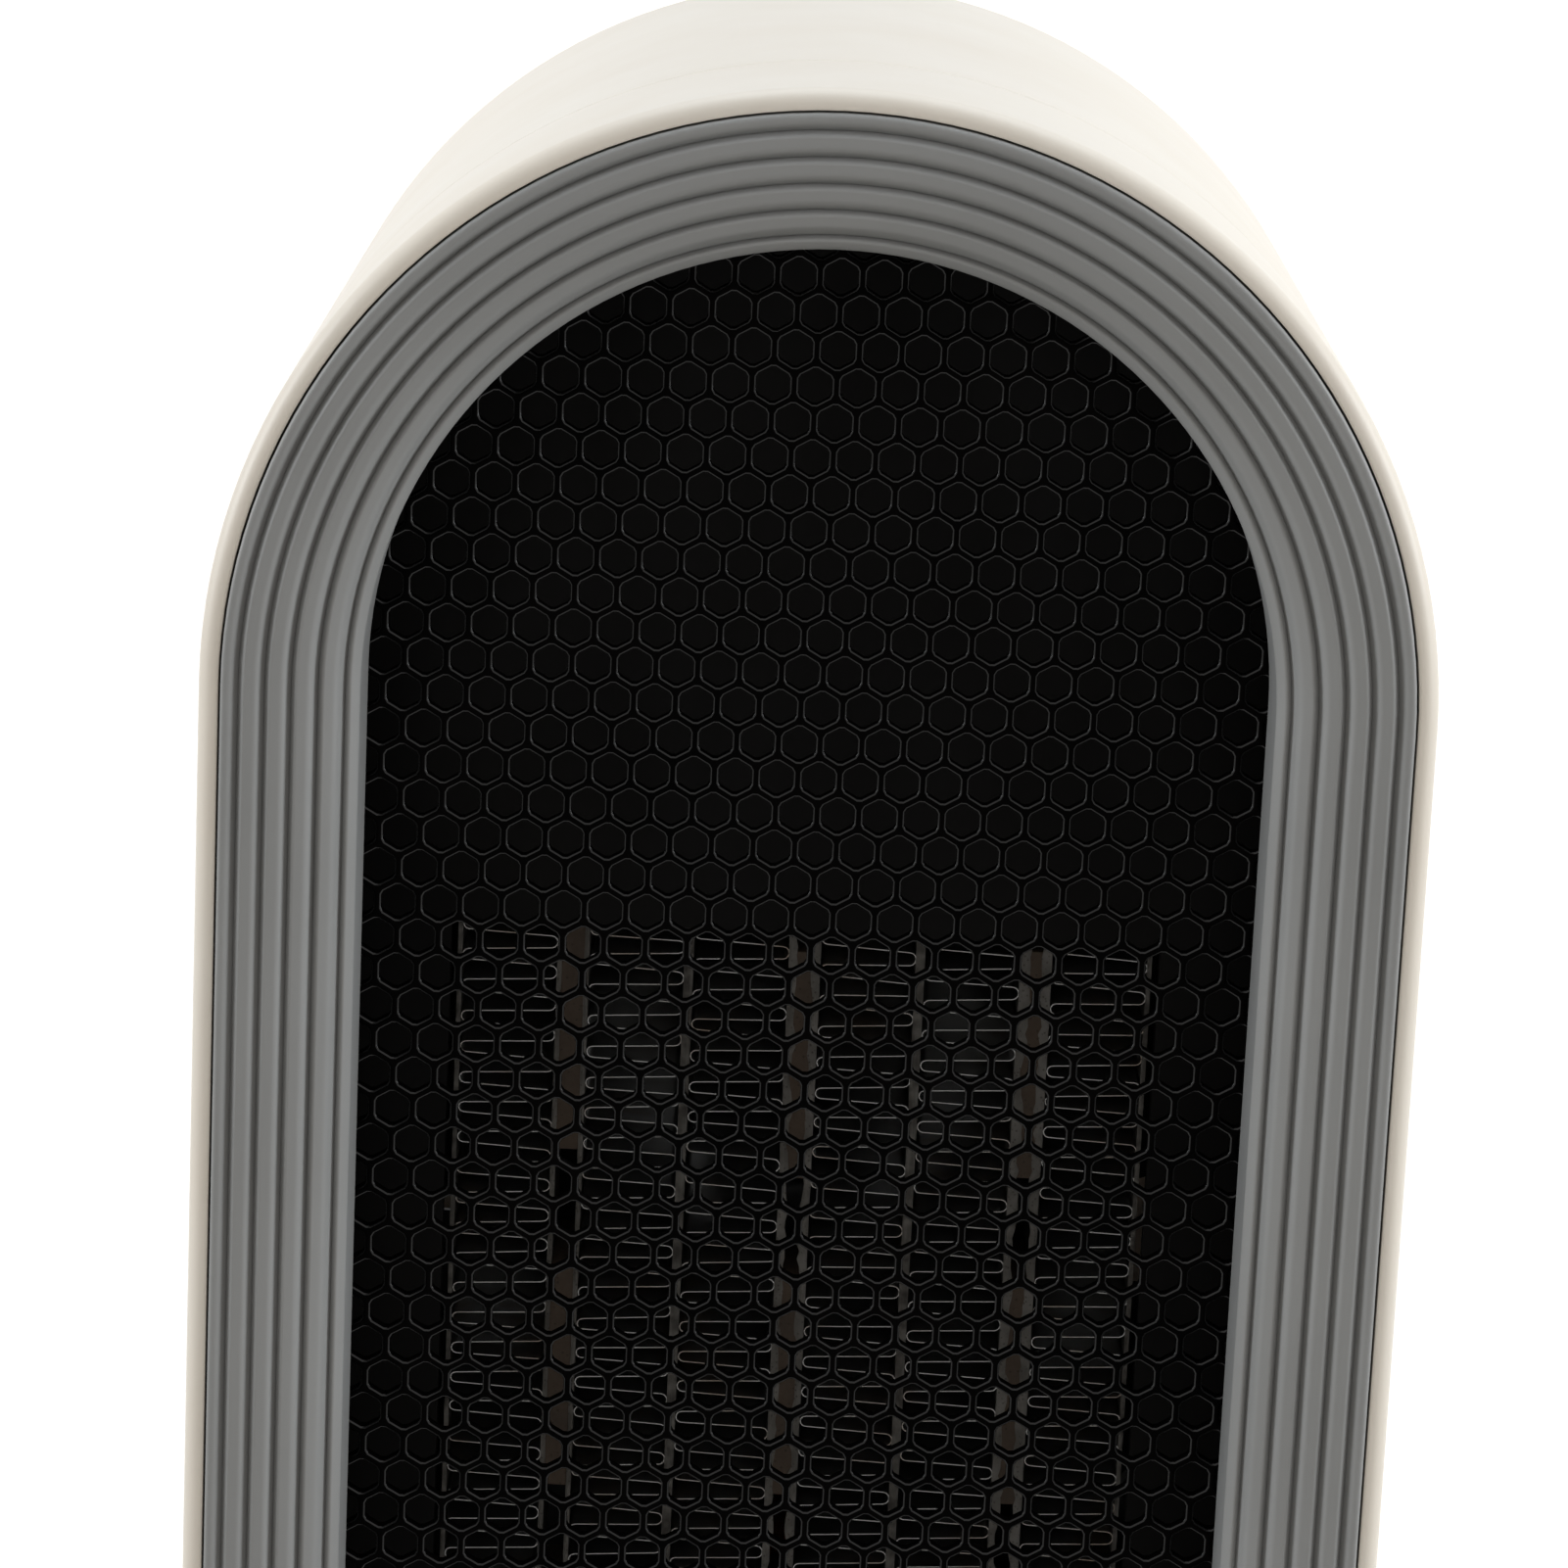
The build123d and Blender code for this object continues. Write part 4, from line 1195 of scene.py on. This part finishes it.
def dress_solids():
    dress(tray_plastic, "outlet_tray", "element_top_frame", "element_bottom_frame")
    dress(black_plastic, "fan_shroud")
    dress(plate_metal, "electrode_plates", "channel_plates")
    dress(tab_metal, "element_terminals")
    dress(steel, "thermal_cutout", "motor_front_bracket", "motor_rear_bracket", "motor_rotor", "motor_shaft")
    dress(steel, "mode_spindle", "thermostat_spindle")
    dress(block_plastic, "thermal_fuse", "terminal_block", "mode_switch", "thermostat_body", "tip_switch")
    dress(laminations, "motor_stator")
    dress(winding, "motor_coil")
    dress(lens_plastic, "indicator_lamp")


# Studio

def ray_flag(tree):
    """1 for rays that show the background itself: camera, glossy and transmission rays."""
    rays = tree.nodes.new("ShaderNodeLightPath").outputs
    flag = rays["Is Camera Ray"]
    for kind in ("Is Glossy Ray", "Is Transmission Ray"):
        larger = tree.nodes.new("ShaderNodeMath")
        larger.operation = "MAXIMUM"
        tree.links.new(flag, larger.inputs[0])
        tree.links.new(rays[kind], larger.inputs[1])
        flag = larger.outputs[0]
    return flag


def strength_by_ray(tree, socket, shown, other):
    """Sets a strength that differs for rays that show the background."""
    made = tree.nodes.new("ShaderNodeMapRange")
    made.inputs["To Min"].default_value = other
    made.inputs["To Max"].default_value = shown
    tree.links.new(ray_flag(tree), made.inputs["Value"])
    tree.links.new(made.outputs["Result"], socket)


def world():
    room = bpy.data.worlds.new("studio")
    bpy.context.scene.world = room
    room.use_nodes = True
    tree = room.node_tree
    background = tree.nodes["Background"]
    background.inputs["Color"].default_value = (1, 1, 1, 1)
    strength_by_ray(tree, background.inputs["Strength"], 1.0, 0.15)


def studio_floor():
    """A pale floor that shows white where it is lit and keeps the object's shadow."""
    mesh = bmesh.new()
    bmesh.ops.create_circle(mesh, cap_ends=True, segments=64, radius=9.0)
    floor = add_object("floor", as_data(mesh, "floor"))
    material = bpy.data.materials.new("pale_floor")
    material.use_nodes = True
    tree = material.node_tree
    shader = tree.nodes["Principled BSDF"]
    shader.inputs["Base Color"].default_value = (0.38, 0.35, 0.31, 1)
    shader.inputs["Roughness"].default_value = 0.9
    shader.inputs["Specular IOR Level"].default_value = 0.0
    shader.inputs["Emission Color"].default_value = (1, 1, 1, 1)
    strength_by_ray(tree, shader.inputs["Emission Strength"], 0.8, 0.0)
    floor.data.materials.append(material)


def sun(name, level, spread, azimuth, elevation, colour):
    """A soft lamp at a distance: azimuth 0 shines from the front and 90 from the right."""
    lamp = bpy.data.lights.new(name, "SUN")
    lamp.energy = level * math.pi
    lamp.angle = math.radians(spread)
    lamp.color = colour
    place = add_object(name, lamp)
    turn = math.radians(azimuth)
    lift = math.radians(elevation)
    towards = Vector((math.sin(turn) * math.cos(lift), -math.cos(turn) * math.cos(lift), math.sin(lift)))
    place.rotation_mode = "QUATERNION"
    place.rotation_quaternion = towards.to_track_quat("Z", "Y")


def studio_camera():
    place = (-0.00357, -0.56449, 0.37786)
    forward = Vector((0.00114, 0.97232, -0.23353)).normalized()
    up = Vector((-0.04396, 0.23346, 0.97137)).normalized()
    right = forward.cross(up).normalized()
    up = right.cross(forward)
    data = bpy.data.cameras.new("camera")
    data.sensor_width = 36
    data.lens = 124.6
    data.clip_start = 0.01
    camera = add_object("camera", data)
    turned = Matrix((right, up, -forward)).transposed().to_4x4()
    camera.matrix_world = Matrix.Translation(place) @ turned
    bpy.context.scene.camera = camera


front_shell()
rear_shell()
bezel_ring()
front_grille()
heating_fins()
ceramic_stones()
sealant_beads()
fan_impeller()
control_panel()
panel_marks()
knob("mode_dial", "mode_knob", "mode_control")
knob("thermostat_dial", "thermostat_knob", "thermostat_control")
indicator_lens()
base_plinth()
rubber_feet()
screws()
tip_plunger()
cord_gland()
dress_solids()

world()
studio_floor()
sun("overhead", 0.48, 50, 170, 78, (0.87, 0.94, 1.0))
sun("right_side", 0.72, 30, 84, 12, (0.95, 0.98, 1.0))
sun("left_side", 0.62, 30, -84, 10, (0.95, 0.98, 1.0))
sun("front_fill", 0.13, 90, 0, 20, (1.0, 0.9, 0.8))
studio_camera()
bpy.context.scene.view_settings.view_transform = "Standard"
